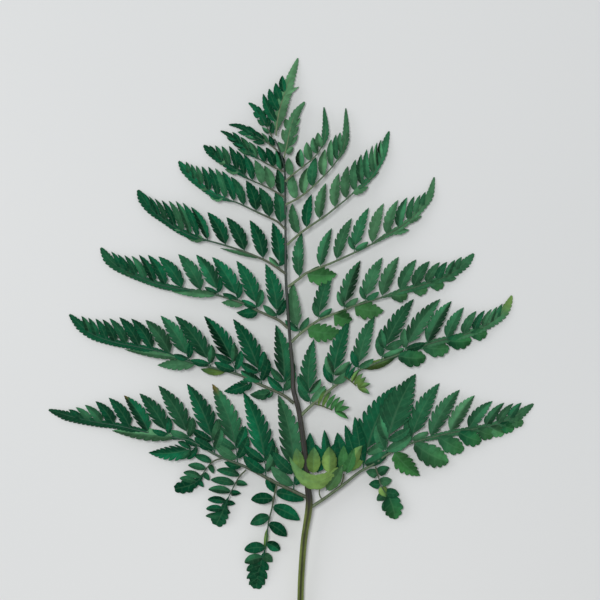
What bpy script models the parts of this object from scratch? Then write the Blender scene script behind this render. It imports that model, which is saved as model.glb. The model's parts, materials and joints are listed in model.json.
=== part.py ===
"""A cut fern frond, laid face up on a surface, in metres with +Z up.

The stem is one piece: the bare stipe and the rachis that runs on through the blade. Each pinna, or side
branch of the blade, is another: its costa (midrib) with its leaflets. The frond points along +Y. It arches
a little: the cut end of the stem and the tips of the pinnae rest on the surface, and the middle is clear.
"""
import math

import bmesh
import bpy
from mathutils import Vector

MM = 0.001

# The plan below is in millimetres from the lowest fork of the frond, +Y towards the tip of the frond.
STEM_LINE = [(-5.5, -130), (-5, -90), (-4.5, -58), (-4, -43), (-2.4, -22), (0.6, -2), (0, 9), (-2, 31),
             (-5.4, 55), (-8.7, 68), (-9.2, 80), (-10.2, 92), (-11.4, 106), (-13.2, 134), (-13.4, 152),
             (-13.6, 176), (-13.8, 197), (-15, 205), (-18, 214), (-20.1, 218.4)]
# How thick the stem is, as pairs of y and radius: it swells a little at the lowest fork.
STEM_RADII = [(-130, 1.8), (-15, 1.95), (-2, 2.2), (12, 1.8), (60, 1.5), (98, 0.95), (130, 0.85),
              (180, 0.6), (218.4, 0.45)]
STEM_RADIUS_CUT = STEM_RADII[0][1]
STEM_SIDES = 8
STEM_STATIONS = 34

ARCH_HEIGHT = 14.0          # how high the rachis rises above the surface
ARCH_START = -130.0         # the cut end rests on the surface here
ARCH_FULL = 60.0            # the arch is at its full height from here
ARCH_FALL = 175.0           # and falls from here to the tip of the stem
ARCH_TOP_HEIGHT = 9.0       # its height at the end of the rachis

COSTA_HALF_WIDTH = (0.75, 0.35)     # at the foot and at the tip of a pinna
COSTA_THICKNESS = (1.5, 0.7)
COSTA_STEP = 9.0            # the longest stretch of a costa's edge between two points
COSTA_BEND = 1.6            # a costa leaves its foot level and bends down as this power of its length
LEAF_THICKNESS = 0.7
LEAF_TIP_THICKNESS = 0.45
LEAF_BEND = 1.5             # a leaflet bends down as this power of its length
LEAF_WIDTH_BASE = 4.0       # a leaflet is this wide, plus a share of its length
LEAF_WIDTH_SHARE = 0.22
LEAF_ROOM = 0.86            # most of the room between two neighbours that a leaflet fills
LEAF_ROOM_AT = 0.4          # the room is taken at this share of their length
LEAF_LEAST_WIDTH = 1.0
LEAF_LEAST_HALF = 0.25      # half the width at the tip is at least this
LEAF_SECTIONS = [(0.16, 0.62), (0.42, 1.0), (1.0, 0.1)]     # shares of the length, and of the width there
LEAF_SECTIONS_SHORT = [(0.45, 1.0), (1.0, 0.14)]
LEAF_SHORT = 11.0           # shorter leaflets have the second, shorter list
FOOT_HALF = 0.8             # half of a leaflet's foot, along the costa
FOOT_CLEAR = 0.3            # from the first foot to the costa's own foot
FEET_APART = 0.2            # between the feet of two neighbours
LEAF_BOW = 0.06             # a leaflet bends towards the pinna's tip by this share of its length
DROOP = 0.5                 # a leaflet's tip hangs to this share of its foot's height
GAP = 0.35                  # between separate pieces
ROUTE_STEP = 2.0            # the plan lines are read about this often
START_STEP = 0.1            # the foot of a pinna is moved out by this until it is clear

STALK_OLIVE = (0.13, 0.15, 0.05)
LEAF_DARK = (0.010, 0.075, 0.035)
LEAF_LIGHT = (0.030, 0.110, 0.045)
ROUGHNESS = 0.5

X, Y = 0, 1


class Pinna:
    """A side branch. costa: its plan line, outwards. run: the axis that says where on the costa a leaflet
    stands. ahead: leaflets on the side of the frond's tip, each (foot along run, tip x, tip y). behind: those
    on the other side. parent: the pinna that a sub-pinna stands on. tip: the height of its tip."""

    def __init__(self, costa, ahead, behind=(), run=X, parent=None, tip=0.0):
        self.costa, self.ahead, self.behind = costa, ahead, behind
        self.run, self.parent, self.tip = run, parent, tip


PINNAE = {
    "terminal_leaf": Pinna(
        [(-19.2, 220.4), (-18.4, 229), (-16.8, 237), (-14.4, 245.4), (-12, 252.6), (-9.6, 259), (-6, 268)],
        [(228.5, -27, 246), (235, -23.4, 249), (241, -19.5, 252.6), (246, -15.4, 257)],
        [(230, -12.6, 240.5), (239, -11.4, 247.4), (244.5, -5.4, 250.2)], run=Y),

    "pinna_left_9": Pinna(
        [(-21.4, 219.6), (-24.6, 225.4), (-28.4, 232.6), (-32.4, 237.6), (-36, 240.6)],
        [(-22.4, -21.6, 229.2), (-24.6, -24, 232.4), (-27.4, -26.8, 236), (-30, -29.8, 238.4)],
        [(-22.8, -27.6, 225.8), (-25.6, -30.6, 230.4), (-28.6, -33, 234.6)], tip=4),
    "pinna_left_8": Pinna(
        [(-18.2, 211.2), (-23.4, 215.4), (-30, 219.6), (-36.6, 224), (-42, 226.4), (-48, 227.4)],
        [(-21, -23.6, 221), (-23.8, -28, 222.4), (-26.5, -31.5, 223.4), (-31, -36, 226.6)],
        [(-25.4, -33.5, 217.2), (-29.4, -38, 220.4), (-34, -42.5, 223)], tip=3),
    "pinna_left_7": Pinna(
        [(-14.4, 198.6), (-19.8, 201), (-27.6, 205.2), (-35.4, 211), (-43, 217.4), (-48, 221.4), (-53, 224)],
        [(-16.4, -19.4, 211.8), (-20.8, -25.4, 213.6), (-25.4, -30.6, 214.8), (-30.4, -35.6, 217),
         (-35.6, -40.6, 220), (-41, -45.6, 223)],
        [(-33, -42.6, 213), (-38.6, -45.6, 216.4), (-43.4, -49, 219.8)]),
    "pinna_left_6": Pinna(
        [(-13.5, 183), (-21, 187.4), (-27.6, 190.8), (-35, 194), (-41, 198.4), (-50, 204), (-55.4, 208.2),
         (-63, 215.4)],
        [(-16.2, -18.6, 200.6), (-22, -26.2, 202.6), (-28, -32, 206), (-33.6, -38.6, 209.4),
         (-38.2, -43, 211.8), (-42.8, -47.6, 214.6), (-47.6, -52, 214.6), (-52, -56, 215), (-56, -59.4, 215)],
        [(-41, -50, 200.4), (-49, -56, 206)]),
    "pinna_left_5": Pinna(
        [(-13.2, 163.8), (-18, 168.4), (-24, 171.4), (-31.8, 175), (-40.8, 179.4), (-47, 181.6),
         (-56, 185), (-65, 191.4), (-71, 197), (-78, 205.8)],
        [(-16.4, -19.6, 187.6), (-22.8, -29.4, 189.6), (-30.6, -37.2, 193.6), (-38.6, -46.4, 196),
         (-44.2, -51.8, 199.4), (-49.4, -55.8, 201), (-54.6, -60, 202), (-59.6, -64, 202.4),
         (-64, -67.6, 203), (-68, -70.6, 203.8), (-71.6, -73.6, 205.2)],
        [(-50, -59, 183.4), (-60, -67.6, 190.6)]),
    "pinna_left_4": Pinna(
        [(-13.2, 137.4), (-19.8, 142), (-26, 145.6), (-37.8, 150.6), (-50, 154.6), (-60, 157.4),
         (-68, 159.6), (-77, 163.8), (-86, 169.8), (-95, 177.2), (-102.6, 188.4)],
        [(-17.4, -21.4, 168.4), (-27, -35, 169.8), (-37.8, -49, 171.6), (-49.4, -60.4, 174.6),
         (-59.6, -70.4, 177.8), (-65.6, -75.4, 180.4), (-70.6, -79.6, 181.4), (-75.4, -83.8, 181.6),
         (-80.4, -88.2, 182), (-85.2, -92.4, 183), (-90, -96, 184.4), (-94.6, -99.4, 186.4)],
        [(-28, -53, 153), (-62, -73.4, 159.6), (-76, -85, 166.4)]),
    "pinna_left_3": Pinna(
        [(-12, 105), (-18, 110), (-29.4, 115), (-38, 119.4), (-51.6, 124), (-65, 127), (-83, 129.6),
         (-95, 133), (-107, 138), (-117.6, 144.4), (-125, 153.6)],
        [(-18.8, -25.6, 143.6), (-30, -43, 145.4), (-42, -57.6, 147.6), (-53.4, -67.2, 149),
         (-64.4, -78, 149.4), (-75.6, -90, 148), (-85.2, -96.4, 149), (-92, -101.8, 149),
         (-97.8, -106.2, 148.4), (-103.2, -110.6, 148.8), (-108.4, -114.8, 149.4), (-113, -118.6, 151)],
        [(-29.6, -43, 114.4), (-38, -52, 120.4), (-54, -82, 127), (-104, -113.6, 139.8)]),
    "pinna_left_2": Pinna(
        [(-8.4, 60), (-15, 65), (-27.6, 70.8), (-41, 77), (-56, 81), (-71, 84.8), (-89, 90.8), (-104, 94),
         (-117.6, 96.8), (-131, 102), (-144, 113.4)],
        [(-15, -19.4, 107), (-28, -45, 110.4), (-43, -62.4, 112.2), (-58, -80, 112.2), (-71, -88.6, 112.4),
         (-82.4, -97.8, 109.8), (-93, -106.4, 110.6), (-101.6, -113.6, 111.4), (-109.4, -119.6, 110.8),
         (-116, -123.8, 110.2), (-121.6, -128, 110.6), (-126.8, -132.4, 111.2), (-131.6, -136.6, 112.2)],
        [(-20, -35, 65), (-33, -50.6, 66.4), (-50, -65, 78.4), (-67, -89.6, 82), (-79, -110, 91.6)]),

    "pinna_left_1": Pinna(
        [(-0.6, 3.6), (-9.6, 7.8), (-18.6, 12), (-36.6, 21.4), (-54, 28.4), (-71, 37.4), (-89, 40.4),
         (-113, 46), (-126, 48), (-140, 51), (-156.6, 55.8)],
        [(-9, -18, 64.8), (-25.2, -39, 66.6), (-42.4, -57.6, 71.4), (-55.4, -72.8, 71.4), (-71.4, -90, 70.4),
         (-84, -101.4, 65.6), (-96, -110.8, 64.4), (-106.8, -120, 63), (-116.4, -128, 60.8),
         (-124.4, -134.4, 58.6), (-131, -140, 57.2), (-137, -144.4, 55.8)],
        [(-25.4, -20.4, 6), (-39.5, -50.4, 24.4), (-64.4, -96, 30), (-82, -113, 42)]),
    "sub_pinna_left_b": Pinna(
        [(-51.6, 27), (-57, 25), (-61.8, 19.6), (-65, 14.4), (-71, 10.4), (-81, 7.8)],
        [(24.4, -68.4, 28.2), (20, -72.2, 22.4), (15.6, -75, 18), (12.6, -77.4, 14.4)],
        [(22.6, -57, 17.4), (18, -59.4, 13.2), (13, -62.8, 9.2), (10.4, -70, 5.8)],
        run=Y, parent="pinna_left_1"),
    "sub_pinna_left_c": Pinna(
        [(-36.6, 20.4), (-40.8, 16.4), (-43.8, 11.4), (-46.2, 6.6), (-48.6, 1.4), (-52, -7), (-55.8, -14.4)],
        [(16.4, -55, 19.6), (11.6, -58.6, 13.6), (7, -60, 7.8), (1, -60.4, 1.6), (-4.2, -61.4, -4),
         (-8.6, -61.8, -8.4)],
        [(12.4, -36.4, 10.6), (6, -40.4, 5.4), (0, -43.8, -1), (-5, -46.8, -6.6), (-9, -49.8, -11)],
        run=Y, parent="pinna_left_1"),
    "sub_pinna_left_d": Pinna(
        [(-18.6, 11.4), (-20.4, 3.6), (-21.6, -3), (-23.4, -10), (-24.2, -16), (-24.8, -22), (-25.8, -28),
         (-27.6, -34), (-30, -43), (-31.2, -52.8)],
        [(2.6, -34.2, 1.6), (-8, -34.8, -13), (-27, -38.4, -28.6), (-33.4, -38.2, -36.4),
         (-37.6, -37, -41.4), (-42, -37, -46.2), (-46, -35.6, -50)],
        [(6.4, -2.4, 1.6), (-2, -5, -10.6), (-12, -12.8, -20.4), (-24.4, -17, -29), (-31.4, -21.4, -36),
         (-36.4, -24, -41), (-41, -24.8, -46.4), (-45.4, -26.2, -50)],
        run=Y, parent="pinna_left_1"),

    "pinna_right_8": Pinna(
        [(-14.4, 207), (-12.6, 214.8), (-10.8, 223.8), (-7.8, 233), (-1.8, 241.2)],
        [(210.4, -18, 217), (218, -15.4, 224.6), (225, -13.6, 231)],
        [(210, -8.8, 214), (214, -6, 221.2), (219.6, -5.6, 226.4), (225.6, -4.6, 231.4), (230.6, -4.4, 236)],
        run=Y, tip=5),
    "pinna_right_7": Pinna(
        [(-13.8, 192.6), (-9, 197), (-3, 201.6), (3, 206.6), (7.2, 211.8), (9.8, 218), (10.6, 226),
         (9.6, 238.2)],
        [(196.6, -11.8, 207.4), (201, -4.6, 212.6), (205.6, -0.8, 216.8), (209.6, 3, 219.6),
         (213.4, 6, 222.6)],
        run=Y, tip=3),
    "pinna_right_6": Pinna(
        [(-13.5, 178.8), (-6, 182.6), (1.2, 188), (8.4, 195), (14.4, 201.4), (19.6, 209), (22.2, 217),
         (23, 225), (22.8, 237.6)],
        [(182, -9.8, 198), (184.6, -0.2, 201.2), (189.4, 4.8, 207.6), (196, 10.4, 212.4), (201.4, 14, 218.4),
         (205.4, 16.8, 221.4), (210, 19.4, 222.8)],
        run=Y, tip=2),
    "pinna_right_5": Pinna(
        [(-12.6, 154.8), (-7.8, 159), (-3, 163), (4.2, 168), (10.2, 172), (16.2, 176.8), (22.2, 181.6),
         (28.2, 186.8), (35.6, 193), (41, 200.6), (45.4, 210), (49.2, 223.8)],
        [(161, -9.4, 180), (164.4, 2.2, 185.4), (170, 10.8, 192), (176.6, 18.6, 198), (182.4, 24, 202.4),
         (186.8, 28.6, 206.4), (190.4, 32, 209.6), (193.8, 35.4, 212.6), (197.6, 38.8, 215),
         (201.8, 41.6, 216.8), (206.6, 44, 218.4)],
        [(185.6, 36.4, 190), (194, 42.8, 199)], run=Y),
    "pinna_right_4": Pinna(
        [(-12, 129.6), (-4.2, 135.4), (0, 138.4), (13.2, 143.6), (22.2, 147.6), (31.2, 151.8), (38.4, 155.4),
         (46.2, 160.2), (55.2, 165.4), (62.6, 171.4), (69, 178.6), (73, 185), (76.2, 196.2)],
        [(-4.6, -3.6, 162.6), (7.4, 14.4, 165), (16.8, 26.4, 171), (27.4, 36.6, 177.4), (38.4, 45.6, 180),
         (47.4, 54.2, 182), (54.4, 59.6, 183.6), (60.4, 64, 184.4), (64.8, 67.6, 185.2), (68.4, 70.8, 187)],
        [(-1.6, 17.4, 138.4), (50, 61, 164), (60, 68.6, 172.4)]),
    "pinna_right_3": Pinna(
        [(-9.9, 96.6), (-4.8, 101.6), (5.4, 109.2), (13.2, 112.6), (22.2, 116), (26.4, 117.8), (37.2, 121.2),
         (46.2, 124), (55.2, 127), (62.4, 129), (70.2, 131.2), (79.2, 134.4), (86.4, 138), (93, 143),
         (100.2, 150)],
        [(-4.6, -8.8, 133), (6.8, 14.4, 138.6), (21.6, 31.6, 145.6), (33.8, 44.8, 147.4), (44.4, 54.6, 147.8),
         (55.2, 65.2, 146.2), (63.6, 73.2, 145.2), (71.4, 79.4, 144.6), (77.6, 83.8, 144.8),
         (83.4, 88.6, 146), (88.6, 92.6, 147.8)],
        [(-3, 16, 104), (13.6, 24.8, 110.6), (26.4, 43, 113.4), (49, 60, 124.2), (62, 72, 127.4),
         (73, 82, 130.4), (81.6, 89.4, 135)]),
    "pinna_right_2": Pinna(
        [(-4.8, 52.2), (1.8, 58.6), (13.8, 68.6), (20.4, 73.6), (32.4, 80.6), (42, 84.6), (52.2, 88.4),
         (61.2, 91.8), (70.2, 94.8), (79.2, 97.4), (88.2, 99.4), (97.2, 102), (106.2, 106), (114.6, 111.6),
         (119.6, 118), (123, 124.8)],
        [(2, 3.6, 98.4), (14.6, 25, 109.8), (29.8, 40.2, 112.4), (43.4, 63.6, 122.4), (57.6, 79.6, 122.4),
         (71.6, 86.4, 121.2), (83, 93.8, 117.4), (93, 101.4, 115.2), (99.6, 106.4, 115.6),
         (105, 110.6, 116.4), (109.6, 114, 117.8), (113.6, 117.2, 119.6)],
        [(3, 17, 54.4), (20, 34.6, 72), (33, 51.4, 83.4), (53, 71, 87), (71, 87, 93), (86, 98.6, 97.4),
         (97, 108, 101.4)]),
    "pinna_right_1": Pinna(
        [(0.6, -3), (8.4, 2), (13.2, 5.4), (22.2, 12), (31.2, 19), (40.8, 24.2), (46.2, 28.4), (55.2, 33),
         (62.4, 36), (73.2, 39), (85.2, 41.8), (97.2, 43.8), (109.2, 45.8), (116, 48), (125, 52),
         (136.2, 59.4)],
        [(9.4, 2.4, 40), (20.6, 17.6, 42.4), (32.6, 52.8, 70.2), (46.4, 64.8, 77.4), (61.2, 79.2, 71.8),
         (73.6, 91.4, 67.8), (85.4, 100.4, 64.4), (96.4, 111.2, 61), (106.8, 118.4, 60),
         (114.4, 123.8, 59.6), (120.8, 128.8, 60)],
        [(54, 67.2, 16.4), (65, 83.6, 23.6), (79, 93.6, 31), (90.6, 104, 36.6), (101.6, 112.2, 39.8),
         (109.4, 118.4, 41), (115.4, 124.4, 43.8), (121.6, 130, 47.4)]),
    "sub_pinna_right_e": Pinna(
        [(40.2, 22.4), (42, 16.8), (43.6, 10.8), (46.2, 6.6), (49.2, 1.2), (50.4, -9.6)],
        [(17.6, 49, 21), (12, 50.6, 13.4), (5.6, 55, 4.4), (0.8, 55.8, -3.2)],
        [(17, 34.8, 18.6), (11, 36.6, 10.8), (5, 41.4, 1), (0.4, 45, -5.2)],
        run=Y, parent="pinna_right_1"),
}


def ease(t):
    """0 to 1 with a level start and end."""
    t = min(1.0, max(0.0, t))
    return t * t * (3 - 2 * t)


def smooth_line(points):
    """A Catmull-Rom curve through the points, as a list of points."""
    points = [Vector(p) for p in points]
    padded = [2 * points[0] - points[1], *points, 2 * points[-1] - points[-2]]
    line = []
    for a, b, c, d in zip(padded, padded[1:], padded[2:], padded[3:]):
        count = max(1, round((c - b).length / ROUTE_STEP))
        for i in range(count):
            t = i / count
            line.append(0.5 * (2 * b + (c - a) * t + (2 * a - 5 * b + 4 * c - d) * t ** 2
                               + (3 * b - a - 3 * c + d) * t ** 3))
    line.append(points[-1])
    return line


class Route:
    """A line in the plan that can be read at any length along it."""

    def __init__(self, points):
        self.points = smooth_line(points)
        self.lengths = [0.0]
        for a, b in zip(self.points, self.points[1:]):
            self.lengths.append(self.lengths[-1] + (b - a).length)
        self.length = self.lengths[-1]

    def at(self, s):
        """The point at length s, and the direction there."""
        s = min(self.length, max(0.0, s))
        i = 0
        while i < len(self.lengths) - 2 and self.lengths[i + 1] < s:
            i += 1
        a, b = self.points[i], self.points[i + 1]
        t = (s - self.lengths[i]) / (b - a).length
        return a.lerp(b, t), (b - a).normalized()

    def where(self, axis, value):
        """The length along the line at which its x or y comes to the value."""
        nearest = min(range(len(self.points)), key=lambda i: abs(self.points[i][axis] - value))
        return self.lengths[nearest]

    def distance(self, point):
        return min((p - point).length for p in self.points)


def stem_height(y):
    """The height of the stem's centre line."""
    rise = (ARCH_HEIGHT - STEM_RADIUS_CUT) * ease((y - ARCH_START) / (ARCH_FULL - ARCH_START))
    end = STEM_LINE[-1][Y]
    fall = (ARCH_HEIGHT - ARCH_TOP_HEIGHT) * ease((y - ARCH_FALL) / (end - ARCH_FALL))
    return STEM_RADIUS_CUT + rise - fall


def stem_radius(y):
    for (y_a, radius_a), (y_b, radius_b) in zip(STEM_RADII, STEM_RADII[1:]):
        if y <= y_b:
            share = max(0.0, (y - y_a) / (y_b - y_a))
            return radius_a + (radius_b - radius_a) * share
    return STEM_RADII[-1][1]


def new_object(name, vertices, faces, colour):
    mesh = bpy.data.meshes.new(name)
    mesh.from_pydata([tuple(c * MM for c in v) for v in vertices], [], faces)
    solid = bmesh.new()
    solid.from_mesh(mesh)
    bmesh.ops.recalc_face_normals(solid, faces=solid.faces)
    solid.to_mesh(mesh)
    solid.free()
    material = bpy.data.materials.new(name)
    material.use_nodes = True
    shader = material.node_tree.nodes["Principled BSDF"]
    shader.inputs["Base Color"].default_value = (*colour, 1)
    shader.inputs["Roughness"].default_value = ROUGHNESS
    shader.inputs["Metallic"].default_value = 0.0
    mesh.materials.append(material)
    piece = bpy.data.objects.new(name, mesh)
    bpy.context.scene.collection.objects.link(piece)
    return piece


def make_stem(route):
    """A tapering rod along the stem line, with flat ends."""
    vertices, faces = [], []
    for k in range(STEM_STATIONS):
        point, along = route.at(route.length * k / (STEM_STATIONS - 1))
        side = Vector((along.y, -along.x))
        radius, height = stem_radius(point.y), stem_height(point.y)
        for j in range(STEM_SIDES):
            turn = 2 * math.pi * (j + 0.5) / STEM_SIDES
            offset = side * radius * math.cos(turn)
            vertices.append((point.x + offset.x, point.y + offset.y, height + radius * math.sin(turn)))
    for k in range(STEM_STATIONS - 1):
        for j in range(STEM_SIDES):
            a, b = k * STEM_SIDES + j, k * STEM_SIDES + (j + 1) % STEM_SIDES
            faces.append((a, b, b + STEM_SIDES, a + STEM_SIDES))
    last = (STEM_STATIONS - 1) * STEM_SIDES
    faces.append(tuple(reversed(range(STEM_SIDES))))
    faces.append(tuple(range(last, last + STEM_SIDES)))
    return new_object("stem", vertices, faces, STALK_OLIVE)


class Leaflet:
    """One leaflet: where its foot is along the costa, and the plan line to its tip."""

    def __init__(self, s, foot, tip, outwards):
        self.s, self.foot, self.tip = s, foot, tip
        self.length = (tip - foot).length
        self.along = (tip - foot).normalized()
        self.across = Vector((-self.along.y, self.along.x))
        if self.across.dot(outwards) < 0:
            self.across.negate()
        self.width = LEAF_WIDTH_BASE + LEAF_WIDTH_SHARE * self.length
        self.half_foot = FOOT_HALF

    def sections(self):
        return LEAF_SECTIONS_SHORT if self.length < LEAF_SHORT else LEAF_SECTIONS

    def midline(self, u):
        """The plan line from the foot, at 0, to the tip, at 1."""
        return self.foot.lerp(self.tip, u) - self.across * (4 * LEAF_BOW * self.length * u * (1 - u))


def leaflets_of(route, stem, pinna, rows, first):
    """The leaflets of one side, in order along the costa, clear of each other and of the stem."""
    found = []
    for foot, x, y in rows:
        s = max(route.where(pinna.run, foot), first + FOOT_HALF + FOOT_CLEAR)
        foot_point, outwards = route.at(s)
        found.append(Leaflet(s, foot_point, Vector((x, y)), outwards))
    found.sort(key=lambda leaf: leaf.s)
    for a, b in zip(found, found[1:]):
        room = (b.s - a.s - FEET_APART) / 2
        a.half_foot, b.half_foot = min(a.half_foot, room), min(b.half_foot, room)
        middle = b.midline(LEAF_ROOM_AT) - a.midline(LEAF_ROOM_AT)
        for leaf in (a, b):
            leaf.width = min(leaf.width, LEAF_ROOM * abs(middle.dot(leaf.across)))
    for leaf in found:
        for u, share in leaf.sections():
            room = stem.distance(leaf.midline(u)) - stem_radius(leaf.midline(u).y) - GAP
            leaf.width = min(leaf.width, max(LEAF_LEAST_WIDTH, 2 * room / share))
    return found


class PinnaSolid:
    """The closed solid of one pinna: a flat rod with leaflets drawn out of its sides."""

    def __init__(self, pinna, route, stem, start, foot_height):
        self.route, self.start, self.foot_height = route, start, foot_height
        self.tip_height = pinna.tip + COSTA_THICKNESS[1] / 2
        self.vertices, self.faces = [], []
        left_is_ahead = self.is_left(pinna)
        sides = (pinna.ahead, pinna.behind) if left_is_ahead else (pinna.behind, pinna.ahead)
        left, right = (leaflets_of(route, stem, pinna, rows, start) for rows in sides)
        self.close_between(self.rail(left, 1), self.rail(right, -1))

    def is_left(self, pinna):
        """Whether the leaflets ahead stand on the left of the costa, looking outwards."""
        foot, x, y = pinna.ahead[len(pinna.ahead) // 2]
        point, along = self.route.at(self.route.where(pinna.run, foot))
        return along.cross(Vector((x, y)) - point) > 0

    def share(self, s):
        return (s - self.start) / (self.route.length - self.start)

    def height(self, s):
        """The costa leaves its foot level and bends down to its tip."""
        return self.tip_height + (self.foot_height - self.tip_height) * (1 - self.share(s) ** COSTA_BEND)

    def pair(self, x, y, z, thickness):
        """A point on the upper face and one under it."""
        self.vertices.append((x, y, z + thickness / 2))
        self.vertices.append((x, y, z - thickness / 2))
        return len(self.vertices) - 2

    def rail_point(self, s, side):
        point, along = self.route.at(s)
        t = self.share(s)
        half = COSTA_HALF_WIDTH[0] + (COSTA_HALF_WIDTH[1] - COSTA_HALF_WIDTH[0]) * t
        thick = COSTA_THICKNESS[0] + (COSTA_THICKNESS[1] - COSTA_THICKNESS[0]) * t
        edge = point + side * half * Vector((-along.y, along.x))
        return self.pair(edge.x, edge.y, self.height(s), thick)

    def wall(self, a, b):
        """The upright face between two pairs."""
        self.faces.append((a, a + 1, b + 1, b))

    def rail(self, leaflets, side):
        """The points along one edge of the costa, with the leaflets that stand on it."""
        stations = [(self.start, None)]
        for leaf in leaflets:
            stations += [(leaf.s - leaf.half_foot, None), (leaf.s + leaf.half_foot, leaf)]
        stations.append((self.route.length, None))
        points = []
        for s, leaf in stations:
            while points and leaf is None and s - points[-1][0] > COSTA_STEP:
                stretch = s - points[-1][0]
                middle = points[-1][0] + stretch / math.ceil(stretch / COSTA_STEP)
                points.append((middle, self.rail_point(middle, side)))
                self.wall(points[-2][1], points[-1][1])
            points.append((s, self.rail_point(s, side)))
            if leaf:
                self.draw_out(leaf, points[-2][1], points[-1][1], side)
            elif len(points) > 1:
                self.wall(points[-2][1], points[-1][1])
        return points

    def draw_out(self, leaf, back, front, side):
        """The leaflet as a thin plate from the two pairs of its foot to its tip."""
        foot_height = self.height(leaf.s)
        tip_height = max(LEAF_THICKNESS / 2, foot_height * DROOP)
        for u, share in leaf.sections():
            centre = leaf.midline(u)
            thick = LEAF_THICKNESS + (LEAF_TIP_THICKNESS - LEAF_THICKNESS) * u
            height = foot_height + (tip_height - foot_height) * u ** LEAF_BEND
            half = max(LEAF_LEAST_HALF, leaf.width / 2 * share)
            a, b = centre - leaf.across * half, centre + leaf.across * half
            new_back, new_front = self.pair(a.x, a.y, height, thick), self.pair(b.x, b.y, height, thick)
            self.wall(back, new_back)
            self.wall(new_front, front)
            self.flats(back, front, new_front, new_back)
            back, front = new_back, new_front
        self.wall(back, front)

    def flats(self, a, b, c, d):
        """The upper and lower face between four pairs."""
        self.faces += [(a, b, c, d), (a + 1, d + 1, c + 1, b + 1)]

    def close_between(self, left, right):
        """The upper and lower face of the costa, as a strip between its two rails, and its two ends."""
        i = j = 0
        while i < len(left) - 1 or j < len(right) - 1:
            step_left = j == len(right) - 1 or (i < len(left) - 1 and left[i + 1][0] <= right[j + 1][0])
            a, b = left[i][1], right[j][1]
            c = left[i + 1][1] if step_left else right[j + 1][1]
            self.faces += [(a, b, c), (a + 1, c + 1, b + 1)]
            i, j = (i + 1, j) if step_left else (i, j + 1)
        self.wall(right[0][1], left[0][1])
        self.wall(left[-1][1], right[-1][1])


def clear_start(route, parent, clearance):
    """How far along its line a pinna begins, so that its square end stays clear of what it grows from."""
    s = 0.0
    while s < route.length:
        point, along = route.at(s)
        side = COSTA_HALF_WIDTH[0] * Vector((-along.y, along.x))
        if min(parent.distance(point + side), parent.distance(point - side)) >= clearance:
            return s
        s += START_STEP
    return 0.0


def stand_on_origin(pieces):
    """Puts the middle of the frond's box, on the surface, at the origin."""
    corners = [v.co for piece in pieces for v in piece.data.vertices]
    low = Vector(min(c[axis] for c in corners) for axis in range(3))
    high = Vector(max(c[axis] for c in corners) for axis in range(3))
    frond = bpy.data.objects.new("frond", None)
    bpy.context.scene.collection.objects.link(frond)
    frond.location = (-(low.x + high.x) / 2, -(low.y + high.y) / 2, -low.z)
    for piece in pieces:
        piece.parent = frond


def build():
    for old in list(bpy.data.objects):
        bpy.data.objects.remove(old, do_unlink=True)
    stem_route = Route(STEM_LINE)
    pieces = [make_stem(stem_route)]
    solids = {}
    for name, pinna in PINNAE.items():
        route = Route(pinna.costa)
        if pinna.parent:
            parent = solids[pinna.parent]
            clearance, s = COSTA_HALF_WIDTH[0] + GAP, parent.route.where(X, pinna.costa[0][X])
            start, foot_height = clear_start(route, parent.route, clearance), parent.height(s)
        else:
            foot_y = pinna.costa[0][Y]
            start = clear_start(route, stem_route, stem_radius(foot_y) + GAP)
            foot_height = stem_height(foot_y)
        solids[name] = PinnaSolid(pinna, route, stem_route, start, foot_height)
        colour = LEAF_DARK if "left" in name else LEAF_LIGHT
        pieces.append(new_object(name, solids[name].vertices, solids[name].faces, colour))
    stand_on_origin(pieces)


build()
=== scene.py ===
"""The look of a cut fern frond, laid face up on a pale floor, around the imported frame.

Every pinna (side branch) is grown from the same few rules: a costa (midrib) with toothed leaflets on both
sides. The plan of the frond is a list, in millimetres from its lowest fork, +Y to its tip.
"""
import json
import math
import random

import bpy
import numpy as np
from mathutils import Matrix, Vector

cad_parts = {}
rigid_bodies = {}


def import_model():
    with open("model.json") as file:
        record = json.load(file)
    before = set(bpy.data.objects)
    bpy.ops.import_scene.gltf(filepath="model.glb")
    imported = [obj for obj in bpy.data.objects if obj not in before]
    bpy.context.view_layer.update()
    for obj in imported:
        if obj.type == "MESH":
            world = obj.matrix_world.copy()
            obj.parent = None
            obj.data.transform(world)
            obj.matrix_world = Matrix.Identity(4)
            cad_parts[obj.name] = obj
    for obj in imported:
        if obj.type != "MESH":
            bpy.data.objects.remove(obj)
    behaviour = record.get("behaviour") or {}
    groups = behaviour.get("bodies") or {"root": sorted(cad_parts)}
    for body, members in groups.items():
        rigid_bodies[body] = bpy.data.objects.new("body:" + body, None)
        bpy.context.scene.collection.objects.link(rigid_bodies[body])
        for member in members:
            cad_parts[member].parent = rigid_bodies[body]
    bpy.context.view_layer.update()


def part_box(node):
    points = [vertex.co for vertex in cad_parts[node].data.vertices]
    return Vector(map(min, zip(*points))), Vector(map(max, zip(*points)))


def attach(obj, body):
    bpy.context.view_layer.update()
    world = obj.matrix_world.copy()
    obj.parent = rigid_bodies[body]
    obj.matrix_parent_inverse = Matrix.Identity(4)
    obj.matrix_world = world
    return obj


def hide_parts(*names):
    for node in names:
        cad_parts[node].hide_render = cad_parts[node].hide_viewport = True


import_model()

MM = 0.001
X, Y = 0, 1
UP = np.array((0.0, 0.0, 1.0))
rng = random.Random(11)

# ---- The plan of the frond ----

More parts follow.
